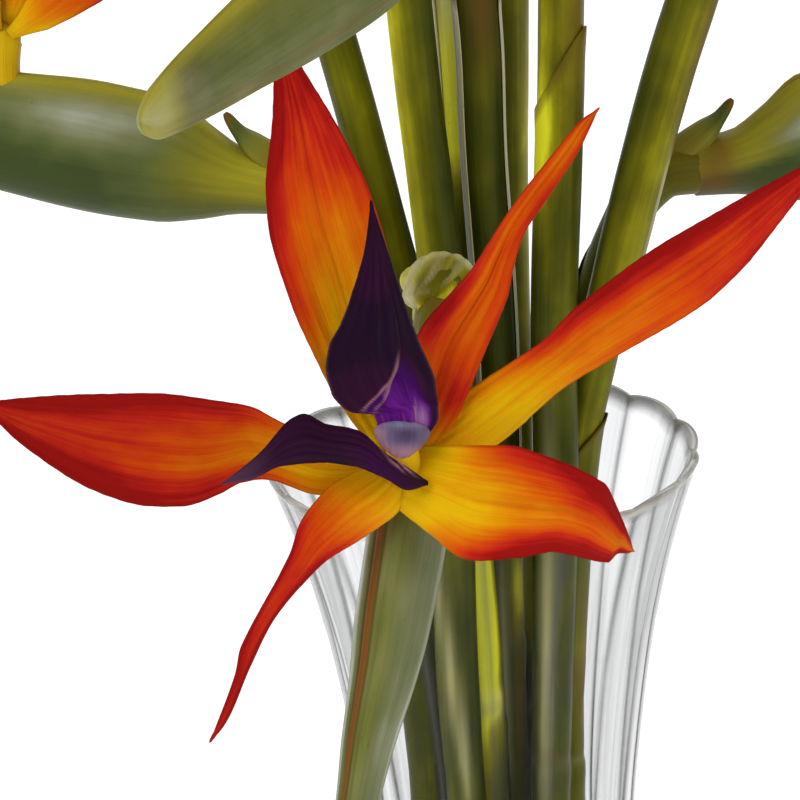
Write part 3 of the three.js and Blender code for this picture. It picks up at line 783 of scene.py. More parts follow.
def add_arrowhead(shape, full):
    """The large petal of the open bloom, with its folded lobe, and the dome at its foot."""
    spec = ARROWHEAD
    ahead, aside, out, half, along, across = open_blade(spec, 61, ARROWHEAD_GRID)
    fold_at = smooth(ARROWHEAD_FOLD, ahead)
    inside = ramp_up(aside, fold_at - 0.35, fold_at + 0.35) * ramp_up(48 - ahead, 0, 12)
    out = out + ARROWHEAD_FOLD_RISE * inside
    surface = turned(ahead, aside, out, spec["turn"])
    tear_at = smooth(ARROWHEAD_TEAR, ahead)
    line = hump(aside, fold_at, 0.4) * ramp_up(26 - ahead, 0, 4)
    tear = hump(aside, tear_at, 0.42) * ramp_up(30 - ahead, 0, 5) * ramp_up(ahead, 14.5, 17)
    right_fold = hump(aside, -3.4 - 0.1 * (ahead - 9), 0.3) * ramp_up(18 - ahead, 0, 4)
    beyond = ramp_up(aside, tear_at - 0.3, tear_at + 0.3)
    tone = warmth(spec, along, across) - (0.12 + 0.35 * beyond) * inside * ramp_up(along, 0, 0.1)
    tone = tone - 0.6 * ramp_up(-across, 0.5, 0.92) * (1 - ramp_up(along, 0.4, 0.7))
    # A painted highlight on the right lobe near the foot, lighter and greyer.
    lobe_highlight = hump(aside, -5.2, 1.3) * hump(ahead, 12, 2.4)
    tone = tone + 0.12 * lobe_highlight
    # The pink lines along the fold, the tear and the right lobe's fold are pale edges, and on the folds
    # also painted highlights where folded edges catch light.
    pink = np.maximum(0.7 * line, np.maximum(0.6 * tear, 0.45 * right_fold))
    pink = np.maximum(pink, 0.12 * ramp_up(np.abs(across), 0.94, 1))
    paint = stack(tone, 0.5 * lobe_highlight, pink)
    place = blade_place(across, ahead, half, 7)
    add_sheet(shape, surface, blade_thickness(across, along, full), place, paint)
    add_dome(shape)


def add_dome(shape, rows=26, columns=40):
    polar = np.linspace(0.02, math.pi - 0.02, rows)[:, None]
    around = angles(columns)
    middle, size = np.array(DOME_CENTRE), np.array(DOME_HALF)
    right, up = np.sin(polar) * np.cos(around), np.sin(polar) * np.sin(around)
    direction = stack(right, up, np.cos(polar))
    flat = stack(1 - 0.3 * ramp_up(-up, 0, 1), np.where(up > 0, 0.42, 1), 1 + 0 * up)
    surface = middle + direction * size * flat * (1 + 0.012 * ripple(around * 3, polar * 5, 9)[..., None])
    # The dome is lavender-grey, less grey in the middle; its paler top paints a highlight along its upper
    # edge.
    pale = 0.6 - 0.42 * hump(up, -0.1, 0.5) * hump(right, 0.05, 0.7) + 0.4 * ramp_up(up, 0.3, 0.8)
    rim = 0.6 * ramp_up(-up, 0.3, 0.85) + 0.45 * ramp_up(-right, 0.4, 1)
    place = stack(right * 7, up * 6, 5)
    add_hose(shape, surface, place, stack(0.4, pale, rim))


def add_companion(shape, full):
    spec = COMPANION
    ahead, aside, out, half, along, across = open_blade(spec, 71)
    surface = turned(ahead, aside, out, spec["turn"])
    # Near the root, pink frayed cloth that also paints a highlight.
    patch = hump(ahead, 2, 3.5) * ramp_up(-across, 0.1, 0.6)
    frayed_highlight = patch * ramp_up(ripple(ahead * 2.2, across * 9, 12), -0.3, 0.4)
    tip = 0.08 * ramp_up(along, 0.72, 1)
    paint = stack(warmth(spec, along, across), 0.8 * tip, np.maximum(0.85 * frayed_highlight, tip))
    place = blade_place(across, ahead, half, 9)
    add_sheet(shape, surface, blade_thickness(across, along, full), place, paint)


def face_matrix(face):
    out = unit(face["out"])
    right = unit(np.cross(face["up"], out))
    return np.stack([right, np.cross(out, right), out], axis=1)


def bloom_matrix(bloom):
    """Turns a point of the spathe's frame into the world."""
    return (rotation("Z", bloom["heading"]) @ rotation("Y", -bloom["climb"])
            @ rotation("X", bloom.get("roll", 0)))


def is_open(bloom):
    return bloom["name"] == "front"


def face_of(bloom):
    """The directions that the florets of a bloom have as up and out."""
    return OPEN_FACE if is_open(bloom) else FAN_FACE


def florets_at(bloom):
    return bloom.get("florets", FLORETS_AT)


def set_on(shape, bloom):
    """Moves florets from their own frame to the bloom's place in the world."""
    shape.moved(face_matrix(face_of(bloom)), (florets_at(bloom), 0, FLORET_HEIGHT))
    return shape.moved(bloom_matrix(bloom), bloom["neck"])


def add_stalk(shape, bloom, rows=28, columns=20):
    """The short flower stalk, in the spathe's frame."""
    at = florets_at(bloom)
    out = unit(face_of(bloom)["out"])
    centre = np.array([at, 0, FLORET_HEIGHT], float)
    points = [(at - STALK_SOCKET[0], 0, STALK_SOCKET[1]), (at - STALK_WRIST[0], 0, STALK_WRIST[1]),
              centre, centre + out * STALK_HEAD_RISE]
    tube = Tube(points, (0, -1, 0), rows, columns)
    radius = smooth(STALK_RADII, tube.share) * (1 + 0.05 * np.cos(tube.around * 6))
    place = stack(tube.around * 4, tube.share * 22, 3)
    add_hose(shape, tube.round_rings(radius), place, stack(0.03 + 0 * radius, 0.55, 0))


def add_throat(shape, rows=18, columns=28):
    """The fleshy heart of the open bloom, which carries its petals."""
    tube = Tube(THROAT_LINE, (1, 0, 0), rows, columns)
    radius = smooth(THROAT_RADII, tube.share) * (1 + 0.05 * ripple(tube.share * 5, tube.around * 2, 4))
    place = stack(tube.around * 5, tube.share * 14, 8)
    add_hose(shape, tube.round_rings(radius), place, stack(0.05 + 0 * radius, 0.3, 0))


def add_peg(shape, rows=8, columns=18):
    around = angles(columns)
    height = np.linspace(PEG_BOTTOM, PEG_TOP, rows)[:, None]
    surface = stack(PEG_RADIUS * np.cos(around), PEG_RADIUS * np.sin(around), height + 0 * around)
    add_hose(shape, surface, stack(around * 3, height, 2), stack(0.4 + 0 * height * around, 0.4, 0))


def sepals_of(bloom, number, look):
    blades = Shape()
    full = look.thickness / MM
    if is_open(bloom):
        for index, spec in enumerate(OPEN_SEPALS):
            add_open_sepal(blades, spec, index, full)
        add_throat(blades)
    else:
        specs = varied(FAN_SEPALS, draws(number + 1))
        for index, spec in enumerate(specs):
            add_fan_sepal(blades, spec, index, 20 * number, full)
    stalk = Shape()
    add_stalk(stalk, bloom)
    return set_on(blades, bloom).join(stalk.moved(bloom_matrix(bloom), bloom["neck"]))


def petals_of(bloom, number, look):
    blades = Shape()
    full = look.thickness / MM
    if is_open(bloom):
        add_arrowhead(blades, full)
        add_companion(blades, full)
    else:
        draw = draws(number + 1)
        varied(FAN_SEPALS, draw)
        for index, spec in enumerate(varied(FAN_PETALS, draw)):
            add_fan_petal(blades, spec, index, 20 * number, full)
    add_peg(blades)
    return set_on(blades, bloom)


# Spathes

# Outline from the neck to the tip: distance, height above and below the middle, half width
SPATHE_STATIONS = [
    (0, 7.5, 7.5, 7.5), (10, 7.6, 9.5, 7.8), (19, 11.5, 12.8, 9), (31, 17.8, 16, 10.6),
    (48, 18, 17, 11), (74, 15.6, 16.2, 9.8), (104, 13, 14, 8.2), (140, 9.9, 11, 5.6),
    (172, 6, 6.8, 3.6), (180, 2.6, 3, 1.8),
]
SPATHE_LENGTH = 181
SPATHE_TIP_ROUNDING = 2.5
NECK_LAP = 2
SPATHE_RIDGE = 0.2
SHOULDER = 31
SPATHE_GRID = (110, 56)

# Relief of the spathes: the groove between the lips, the lip beside it on either side, the keel
# along the under side, all in millimetres, and how uneven the rest is, as a share of its size
GROOVE_DEPTH = 1.3
LIP_HEIGHT, FAR_LIP_HEIGHT = 0.55, 0.2
KEEL_HEIGHT = 0.5
SPATHE_UNEVENNESS = 0.018

# Where the slit between the two lips lies, in degrees from the top, how far the horn reaches, the
# belly, which widens a spathe at distances from its neck, the sway, which moves its far part
# sideways, and how each spathe is coloured: its tone on the flank, above and below, which mostly
# paints light on the top and shade on the under side, the olive of its neck and crest, the brown of
# its lips, and patches (distance, reach, angle and spread, what they add of tone, olive and brown).
# Most patches that add tone paint highlights where light catches a spathe, and the darker patches
# low on the right spathe's flank paint shade.
SPATHE_LOOKS = {
    "front": {
        "slit": -44, "horn": 14, "tones": (0.46, 0.44, 0.3), "olive": (0.15, 0.1), "brown": 1.7,
        "sway": -1,
        "belly": [(0, 1), (36, 1.04), (62, 1.13), (80, 1.17), (94, 1.1), (110, 1), (126, 0.95),
                  (181, 0.95)],
        # The first patch paints a thin highlight along the right edge.
        "patches": [(90, 90, 99, 3.5, 1.1, 0, 0), (90, 90, -68, 13, 0.4, 0, 0),
                    (110, 60, 12, 24, -0.12, 0.1, 0)]},
    "left": {
        "slit": 0, "horn": 17.5, "tones": (0.07, 0.3, 0), "olive": (0.95, 0.95), "brown": 0.45,
        "patches": [(50, 19, 55, 22, 0.62, -0.2, 0), (92, 26, 58, 22, 0.34, 0, 0),
                    (30, 10, 44, 20, 0.2, 0, 0), (50, 40, 178, 20, 0.3, 0, 0)]},
    "right": {
        "slit": 0, "horn": 12, "tones": (0.26, 0.34, 0), "olive": (0.95, 0.95), "brown": 0.5,
        "patches": [(29, 9, -64, 12, 0.6, -0.6, 0), (45, 34, -36, 20, 0.1, 0.6, 0.1),
                    (1, 7, -100, 60, -0.2, -0.45, 0.6), (5, 4, -30, 45, 0, -0.2, 0.6),
                    (18, 12, -120, 26, -0.2, -0.5, 0), (30, 26, -112, 28, -0.3, -0.8, 0),
                    (50, 40, -4, 9, 0, 0, 0.4)]},
    "near": {
        "slit": -8, "horn": 14, "tones": (0.24, 0.36, 0.36), "olive": (0.5, 0.85), "brown": 0.3,
        "patches": [(130, 80, -24, 44, -0.06, 0.5, 0.1), (100, 50, 50, 24, 0.12, -0.1, 0),
                    (100, 120, 30, 90, -0.04, 0.22, 0), (178, 9, 0, 180, 0.8, -0.4, 0),
                    (172, 9, 40, 60, 0.3, 0.3, 0), (160, 8, 74, 40, 0.25, -0.4, 0.2),
                    (90, 90, 124, 6, 0, 0, 0.4)]},
}
# A plain spathe's two patches paint highlights on its flanks.
PLAIN_SPATHE = {"slit": 0, "horn": 14, "tones": (0.26, 0.36, 0.06), "olive": (0.85, 0.75), "brown": 0.4,
                "patches": [(52, 26, 44, 17, 0.4, 0, 0), (52, 26, -44, 17, 0.4, 0, 0)]}
PLAIN_BELLY = [(0, 1), (SPATHE_LENGTH, 1)]

# The horn along its length: width, depth and the line that it rises along, as distances back from
# its reach and heights
HORN_WIDTH = [(0, 4.6), (0.25, 5), (0.5, 4.2), (0.75, 2.4), (0.95, 1.3), (1, 0.7)]
HORN_DEPTH = [(0, 4.2), (0.25, 4.2), (0.5, 3.3), (0.75, 1.9), (0.95, 1.2), (1, 0.6)]
HORN_LINE = [(21, 2.6), (15, 6), (9, 9.4), (4.7, 12.2), (0.4, 16.4)]


def spathe_surface(bloom, look, seed):
    rows, columns = SPATHE_GRID
    at = (SPATHE_LENGTH + NECK_LAP) * np.sin(np.linspace(0, math.pi / 2, rows)) ** 0.9 - NECK_LAP
    angle = np.linspace(-180, 180, columns, endpoint=False)
    crowd = np.radians(angle - 14 * np.sin(np.radians(angle - look["slit"])))
    across, over = np.sin(crowd)[None, :], np.cos(crowd)[None, :]
    above, below, side = [smooth([(s[0], s[i]) for s in SPATHE_STATIONS], at)[:, None] for i in (1, 2, 3)]
    girth = 1 + (bloom.get("girth", 1) - 1) * np.minimum(at / SHOULDER, 1)[:, None]
    past = (at - SPATHE_LENGTH + SPATHE_TIP_ROUNDING) / SPATHE_TIP_ROUNDING
    closing = np.sqrt(1 - np.clip(past, 0, 0.99) ** 2)
    belly = smooth(look.get("belly", PLAIN_BELLY), at)[:, None]
    size = girth * belly * closing[:, None] * (1 - 0.045 * ramp_up(-at, 0, NECK_LAP))[:, None]
    from_slit = np.degrees(crowd)[None, :] - look["slit"]
    lips = ramp_up(at, 20, 34)[:, None] * ramp_up(176 - at, 0, 20)[:, None]
    groove = (-GROOVE_DEPTH * hump(from_slit, 0, 4.5) + LIP_HEIGHT * hump(from_slit, 11, 6)
              + FAR_LIP_HEIGHT * hump(from_slit, -11, 6))
    keel = KEEL_HEIGHT * hump(np.abs(np.degrees(crowd))[None, :], 180, 22)
    swell = 1 + SPATHE_UNEVENNESS * ripple(at[:, None] * 0.05, crowd[None, :] * 2, seed, 4)
    radial = groove * lips * np.minimum(above / 8, 1) + keel
    ridge = SPATHE_RIDGE * ramp_up(at, -1, 14)[:, None]
    wide = across * side * (1 - ridge * over) * size * swell + across * radial
    wide = wide + look.get("sway", 0) * ramp_up(at, 90, 115)[:, None]
    high = over * np.where(over > 0, above, below) * size * swell + over * radial
    return stack(at[:, None] + 0 * wide, wide, high), at[:, None], np.degrees(crowd)[None, :], from_slit


def add_spathe(shape, bloom, look, seed):
    surface, at, angle, from_slit = spathe_surface(bloom, look, seed)
    flank, top, under = look["tones"]
    neck_olive, crest_olive = look["olive"]
    # Tones for the flank, the top and the under side mostly paint light on the top and shade below.
    low = ramp_up(np.abs(angle), 80, 135)
    high = 1 - ramp_up(np.abs(angle), 15, 50)
    tone = flank * (1 - low) * (1 - high) + top * high + under * low
    tone = tone + 0.07 * ripple(at * 0.06, angle * 0.03, seed + 3, 4)
    # Patches add olive and brown, and painted highlights and shade.
    tone, more_olive, more_brown = patched(tone, look["patches"], at, angle)
    neck = 1 - ramp_up(at, 4, 40)
    crest = hump(np.abs(angle), 6, 30) * ramp_up(at, -2, 20) * (1 - 0.6 * ramp_up(at, 110, 170))
    tip = 0.9 * ramp_up(at, 158, 178)
    olive = np.maximum(neck_olive * neck * (1 - 0.75 * low), crest_olive * crest)
    olive = np.maximum(olive, tip) + more_olive
    line = ramp_up(at, 24, 40) * ramp_up(180 - at, 0, 20)
    strong = max(look["brown"] - 1, 0)
    borders = hump(from_slit, 0, 2) + hump(from_slit, 10 + 21 * strong, 1.8)
    stripe = hump(from_slit, 5 + 10.5 * strong, 5 + 10 * strong)
    brown = look["brown"] * stripe * (1 - 0.75 * borders) * line
    seam = (0.3 + 0.25 * borders) * hump(from_slit, 0, 2.5) * line
    dark = 0.9 * borders + 0.3 * hump(from_slit, 18 + 28 * strong, 2.5)
    tone = tone - dark * min(look["brown"], 1) * line
    paint = stack(tone, np.clip(olive, 0, 1), np.clip(np.maximum(brown, seam) + more_brown, 0, 1))
    place = stack(angle / 360 * 60 + 0 * at, at + 0 * angle, seed * 3.7)
    surface = surface[:, ::-1]
    add_hose(shape, surface, place[:, ::-1], paint[:, ::-1])


def add_horn(shape, reach, rows=30, columns=24):
    """The pointed end of the sheath, which stands off the back of the neck."""
    tube = Tube([(reach - back, 0, height) for back, height in HORN_LINE], (0, -1, 0), rows, columns)
    up = tube.share
    wide = smooth(HORN_WIDTH, up) * np.cos(tube.around)
    deep = smooth(HORN_DEPTH, up) * np.sin(tube.around)
    cup = 0.05 * wide ** 2
    surface = tube.rings(wide, deep - cup * 0.6)
    brown = 0.75 * ramp_up(up, 0.84, 0.97) + 0.3 * (1 - ramp_up(up, 0.25, 0.55))
    paint = stack(0.1 + 0 * wide, 0.5 - 0.4 * ramp_up(up, 0.4, 0.8), brown)
    add_hose(shape, surface, stack(tube.around * 5, up * 25, 1), paint)


def spathe_of(bloom, number):
    look = SPATHE_LOOKS.get(bloom["name"], PLAIN_SPATHE)
    shape = Shape()
    add_spathe(shape, bloom, look, number + 1)
    add_horn(shape, look["horn"])
    return shape.moved(bloom_matrix(bloom), bloom["neck"])


# Stems. Angles round a stem start at +X and turn towards the front.

STEM_GRID = (200, 30)
NECK_TUCK = 0.4
SHEATH_GRID = (64, 34)
STEM_FLUTE = 0.1
CUT_HEIGHT = 12.5

# How far a sheath lies from its stem: sunk in it at its foot, then risen, and more along its seam
# and its top edge
SHEATH_SUNK = 0.55
SHEATH_RISE = 0.8
SEAM_RISE = 0.1
TOP_RISE = 0.35

# Tone of each stem, how much its lit side adds and where that is, which paints light on one side
# and shade on the other, the tone and brown of its neck where they aren't plain, the height of
# its joint, its sheaths (from and to heights, the angle of the seam, how wide it gapes, the slant
# of its top, how wide and how pale its margins are), the height up to which margins are pale, and
# its patches (height, reach, angle and spread, with what they add of tone, pale and brown). Besides
# yellow and brown markings, patches that lighten a stem paint highlights and light where other
# stems shade it, and the pale bands low on the front, near and tall_right stems paint highlights
# on them inside the vase.
PLAIN_NECK = (0.5, 0)
STEM_LOOKS = {
    "front": {
        "tone": 0.14, "lit_side": (0.1, 150), "joint": 112,
        "sheaths": [(118, 262, 250, 20, 14, 6, 0.8)],
        "patches": [(230, 30, 90, 60, 0.2, 0, 0), (188, 16, 140, 15, 0.3, 0.5, 0),
                    (162, 16, 112, 15, 0.3, 0.5, 0), (138, 16, 86, 15, 0.3, 0.5, 0)]},
    "left": {
        "tone": 0.14, "lit_side": (0.12, 60), "neck": (0.68, 0), "joint": 92,
        "sheaths": [(110, 262, 250, 30, 20, 6, 0.3)],
        "patches": [(178, 12, 80, 50, 0.4, 0, 0.5), (292, 30, 90, 90, 0.4, 0, 0)]},
    "right": {
        "tone": 0.16, "lit_side": (0.1, 150), "neck": (0.38, 0.4), "joint": 118,
        "sheaths": [(126, 268, 100, 26, 22, 10, 0.8)],
        "patches": [(284, 12, 60, 60, 0.2, 0, 0.1)]},
    "near": {
        "tone": 0.08, "lit_side": (0.08, 150), "neck": (0.4, 0.2), "joint": 158,
        "sheaths": [(166, 352, 83, 112, 8, 19, 0.9)],
        "patches": [(175, 17, 36, 42, 1.0, 0, 0.1), (342, 16, 78, 40, 0.1, 0, 0.75),
                    (140, 20, 48, 30, 0.1, 0, 0.6), (148, 32, 98, 13, 0.4, 0.65, 0)]},
    "leaning_left": {
        "tone": 0.24, "lit_side": (0.12, 60), "joint": 130,
        "sheaths": [(150, 400, 250, 20, 24, 6, 0.8)],
        "patches": [(190, 30, 110, 50, 0.2, 0, 0.2)]},
    "tall_left": {
        "tone": 0.42, "lit_side": (0.42, 190), "joint": 141,
        "sheaths": [(150, 430, 300, 24, 26, 6, 0.8)],
        "patches": [(172, 36, 90, 100, 1.3, 0, 0), (325, 60, 150, 14, 0.0, 0, 0.3),
                    (146, 4, 60, 60, 0.4, 0.4, 0)]},
    "tall_back": {
        "tone": 0.14, "lit_side": (0.05, 60), "joint": 289,
        "sheaths": [(196, 352, 48, 140, 8, 20, 0.95)],
        "patches": [(312, 22, 80, 90, 1.7, 0.1, 0), (345, 16, 90, 110, 0.4, 0.8, 0),
                    (338, 12, 112, 10, 0, 0, 0.6)]},
    "top_back": {
        "tone": 0.26, "lit_side": (0.14, 20), "joint": 130,
        "sheaths": [(180, 430, 230, 60, 16, 12, 0.8)],
        "patches": [(172, 22, 40, 60, 1.1, 0, 0.15), (300, 60, 30, 50, 0.38, 0.08, 0)]},
    "tall_right": {
        "tone": 0.12, "lit_side": (0.1, 60), "joint": 128,
        "sheaths": [(138, 335, 200, 14, 24, 5, 0.8)],
        "patches": [(303, 16, 160, 48, 1.2, 0, 0), (330, 22, 150, 50, 0.45, 0, 0),
                    (338, 24, 30, 60, 0.45, 0, 0.8), (345, 18, 150, 40, 0.35, 0, 0.2),
                    (165, 50, 112, 20, 0.35, 0.6, 0)]},
    "leaning_right": {
        "tone": 0.22, "lit_side": (0.16, 80), "joint": 122, "pale_to": 306,
        "sheaths": [(130, 224, 190, 20, 20, 6, 0.8), (236, 420, 8, 26, 20, 12, 0.8)],
        "patches": [(146, 14, 20, 40, 0.2, 0, 0.8), (335, 20, 40, 30, 0, 0, 0.5),
                    (300, 60, 70, 40, 0.18, 0, 0.1), (270, 80, 22, 12, 0, 0, 0.6)]},
}


def stem_points(bloom):
    axis = bloom_matrix(bloom) @ np.array([1.0, 0, 0])
    neck = np.array(bloom["neck"], float)
    return [(*bloom["foot"], STEM_FOOT), (*bloom["foot"], STEM_STRAIGHT_TO), *bloom["route"],
            neck - axis * NECK_STRAIGHT, neck - axis * NECK_GAP]


def stem_radius(bloom, share, segments):
    """The model's radius at its own rings, joined smoothly."""
    rings = 2 * segments
    stations = []
    for ring in range(rings + 1):
        rise = min(max((ring - 2) / (rings - 4), 0), 1)
        middle = STEM_FOOT_RADIUS + (bloom["radius"] - STEM_FOOT_RADIUS) * rise
        stations.append((ring / rings, middle if ring < rings - 2 else NECK_RADIUS - NECK_TUCK))
    return smooth(stations, share)


def stem_paint(look, height, degrees, seed):
    """Tone, pale and brown of a stem at heights and angles round it."""
    light_gain, side = look["lit_side"]
    # The lit side is lighter and the far side darker, which paints light and shade.
    tone = look["tone"] + light_gain * np.cos(np.radians(degrees - side))
    tone = tone + 0.07 * ripple(height * 0.05, np.radians(degrees), seed, 4)
    return patched(tone, look["patches"], height, degrees)


class StemLine:
    """The middle line of a stem, its frames, its length and its radius."""

    def __init__(self, bloom, rows):
        points = stem_points(bloom)
        share = np.linspace(0, 1, rows)
        self.centres = curve_through(points, share)
        self.sides, self.overs = carried_frames(self.centres, (1, 0, 0))
        steps = np.linalg.norm(np.diff(self.centres, axis=0), axis=1)
        self.length = np.concatenate([[0], np.cumsum(steps)])
        self.radius = stem_radius(bloom, share, len(points) - 1)
        climbing = np.maximum.accumulate(self.centres[:, 2])
        self.climbing = climbing + np.arange(rows) * 1e-6

    def row_at(self, height):
        """The row, with its fraction, at which the stem first reaches a height."""
        return np.interp(height, self.climbing, np.arange(len(self.climbing)))

    def at_row(self, values, row):
        known = np.arange(len(values))
        if values.ndim == 1:
            return np.interp(row, known, values)
        return np.stack([np.interp(row, known, values[:, i]) for i in range(3)], axis=-1)

    def around(self, row, turn, radius):
        """Points at an angle and a radius round the stem."""
        across = self.at_row(self.sides, row) * (np.cos(turn) * radius)[..., None]
        over = self.at_row(self.overs, row) * (np.sin(turn) * radius)[..., None]
        return self.at_row(self.centres, row) + across + over


def stem_of(bloom, number, sizes):
    look = STEM_LOOKS[bloom["name"]]
    rows, columns = STEM_GRID
    line = StemLine(bloom, rows)
    height = line.centres[:, 2]
    degrees = np.linspace(0, 360, columns, endpoint=False)[None, :]
    turn = np.radians(degrees)
    above_joint = height - look["joint"]
    swell = sizes.joint_swell / MM * (hump(above_joint, -3, 4) - 0.9 * hump(above_joint, 1.5, 1.5))
    ring = hump(above_joint, 1, 1.6)
    flutes = STEM_FLUTE * np.cos(turn * 5 + number) + STEM_FLUTE / 2 * np.cos(turn * 11)
    full = line.radius[:, None] + swell[:, None] + flutes * ramp_up(line.length, 8, 40)[:, None]
    row = np.arange(rows)[:, None] + 0 * turn
    surface = line.around(row, turn + 0 * row, full)
    tone, pale, brown = stem_paint(look, height[:, None], degrees, number)
    tone = tone + 0.25 * (1 - ramp_up(height, 40, 110))[:, None]
    cut = ramp_up(CUT_HEIGHT - height, 0, 1.5)[:, None]
    neck = ramp_up(line.length, line.length[-1] - 26, line.length[-1] - 4)[:, None]
    neck_tone, neck_brown = look.get("neck", PLAIN_NECK)
    tone = tone * (1 - neck) + neck * neck_tone
    brown = np.maximum(brown, np.maximum(0.3 * np.roll(ring, 1)[:, None], neck ** 2 * neck_brown))
    paint = stack(tone, np.maximum(np.maximum(pale, 0.12 * ring[:, None]), 0.5 * cut), brown)
    place = stack(degrees / 360 * 35, line.length[:, None], number * 5.1)
    shape = Shape()
    add_hose(shape, surface, place, paint)
    for index, sheath in enumerate(look["sheaths"]):
        add_sheath(shape, sheath, line, look, number * 7 + index, sizes.sheath / MM)
    if is_open(bloom):
        add_hood(shape, line)
    return shape


def add_sheath(shape, sheath, line, look, seed, full):
    """A leaf sheath that grows out of a stem and wraps it, open along its seam, with pale margins."""
    low, high, seam, gape, slant, pale_width, paleness = sheath
    rows, columns = SHEATH_GRID
    along = np.linspace(0, 1, rows)[:, None]
    wrap = np.linspace(gape / 2, 360 - gape / 2, columns)[None, :]
    opposite = (1 - np.cos(np.radians(wrap))) / 2
    top = high - slant * (1 - opposite)
    height = low + (top - low) * along
    row = line.row_at(height)
    degrees = seam + wrap
    turn = np.radians(degrees)
    margin = np.minimum(wrap - gape / 2, 360 - gape / 2 - wrap)
    lift = -SHEATH_SUNK + SHEATH_RISE * ramp_up(along, 0, 0.25) + SEAM_RISE * (1 - ramp_up(margin, 0, 14))
    lift = lift + TOP_RISE * ramp_up(along, 0.93, 1) ** 2
    radius = line.at_row(line.radius, row) + lift + 0.06 * ripple(height * 0.1, turn, seed, 3)
    surface = line.around(row, turn, radius)
    tone, pale, brown = stem_paint(look, height, degrees, seed)
    white = (1 - ramp_up(margin, 0.5 * pale_width, 1.4 * pale_width)) * ramp_up(along, 0.1, 0.35)
    pale_to = look.get("pale_to", high)
    white = white * (1 - ramp_up(height, pale_to - 12, pale_to + 1))
    pale = np.maximum(pale, paleness * white)
    tone = tone + 0.3 * paleness * white
    brown = np.maximum(brown, 0.85 * hump(along, 0.992, 0.012))
    place = stack(wrap / 360 * 38, line.at_row(line.length, row), 50 + seed)
    thickness = full * (1 - 0.5 * (1 - ramp_up(margin, 0, 18))) + 0 * along
    paint = stack(tone + 0.03, pale, brown)
    add_sheet(shape, surface[:, ::-1], thickness[:, ::-1], place[:, ::-1], paint[:, ::-1])


# The pale, crumpled end of the sheath over the bend of the front stem, and its rolled margin
HOOD_FROM = 247
HOOD_GRID = (70, 80)
ROLL_LINE = [(-7.5, -36, 283.4), (-11.5, -38.2, 283.4), (-15, -38.6, 281.8), (-17.4, -38.2, 279.6),
             (-16.8, -39, 277.4)]
ROLL_RADIUS = [(0, 0.9), (0.35, 1.7), (0.7, 2.4), (1, 1.9)]

# The dent in the hood's front, which leans back by 22 degrees: its middle, half sizes and depth
HOLLOW_LEAN = (0.375, 0.927)
HOLLOW_MIDDLE = (-8, 240)
HOLLOW_HALF = (7.6, 9.4)
HOLLOW_DEPTH = 1.3
HOOD_FOLDS = 1.5


def add_hood(shape, line):
    rows, columns = HOOD_GRID
    along = np.linspace(0, 1, rows)[:, None]
    degrees = np.linspace(0, 360, columns, endpoint=False)[None, :]
    turn = np.radians(degrees)
    start = line.row_at(HOOD_FROM)
    row = start + (len(line.length) - 9 - start) * along + 0 * turn
    folds = 0.5 * np.abs(np.sin(turn * 3.5 + along * 4 + ripple(along * 5, turn, 33)))
    folds = folds + 0.4 * ripple(along * 13, turn * 5, 31, 5) + 0.22 * ripple(along * 34, turn * 11, 32, 5)
    full = ramp_up(along, 0, 0.3) * ramp_up(1 - along, 0, 0.12)
    lift = -0.8 + 1.6 * full + 2.4 * full * hump(angle_from(degrees, 185), 0, 55)
    radius = line.at_row(line.radius, row) + lift
    rough = line.around(row, turn + 0 * row, radius)
    raised = HOLLOW_LEAN[1] * rough[..., 2] + HOLLOW_LEAN[0] * rough[..., 1]
    from_hollow = np.hypot((rough[..., 0] - HOLLOW_MIDDLE[0]) / HOLLOW_HALF[0],
                           (raised - HOLLOW_MIDDLE[1]) / HOLLOW_HALF[1])
    from_hollow = from_hollow + 0.08 * ripple(along * 9, turn * 3, 36)
    hollow = (1 - ramp_up(from_hollow, 0.7, 0.95)) * ramp_up(-rough[..., 1], 28, 34)
    radius = radius + HOOD_FOLDS * folds * ramp_up(along, 0.08, 0.35) - HOLLOW_DEPTH * hollow
    crease = hump(ripple(along * 7, turn * 2.5, 35), 0, 0.2) * ramp_up(along, 0.1, 0.3)
    radius = radius + 0.4 * crease
    surface = line.around(row, turn + 0 * row, radius)
    band = ramp_up(from_hollow, 0.95, 1.15) * ramp_up(raised, 226, 236)
    # Lighter on the crests of the folds and darker in their hollows, which paints light and shade.
    tone = 0.56 + 0.4 * ramp_up(folds, 0.05, 0.75) + 0.15 * band
    mottle = ramp_up(ripple(along * 22, turn * 7, 37), 0.1, 0.8)
    pale = np.maximum(0.3 * crease, 0.75 * band) + 0.22 * mottle
    brown = 0.5 * hump(along, 0.26, 0.07) * hump(angle_from(degrees, 150), 0, 35)
    place = stack(degrees / 360 * 40, along * 60, 90)
    add_hose(shape, surface, place, stack(tone, np.clip(pale, 0, 1), brown))
    add_roll(shape)


def add_roll(shape, rows=50, columns=20):
    """The hood's margin, rolled up into a small knob."""
    tube = Tube(ROLL_LINE, (0, 1, 0), rows, columns)
    share, around = tube.share, tube.around
    closing = np.sqrt(np.clip(1 - np.clip((share - 0.9) / 0.1, 0, 0.98) ** 2, 0, 1))
    radius = smooth(ROLL_RADIUS, share) * closing
    radius = radius * (1 + 0.09 * ripple(share * 16, around * 2, 3))
    tone = 0.8 + 0.12 * ripple(share * 10, around, 8)
    add_hose(shape, tube.round_rings(radius), stack(around * 3, share * 20, 91), stack(tone, 0.3, 0))


# Vase and water

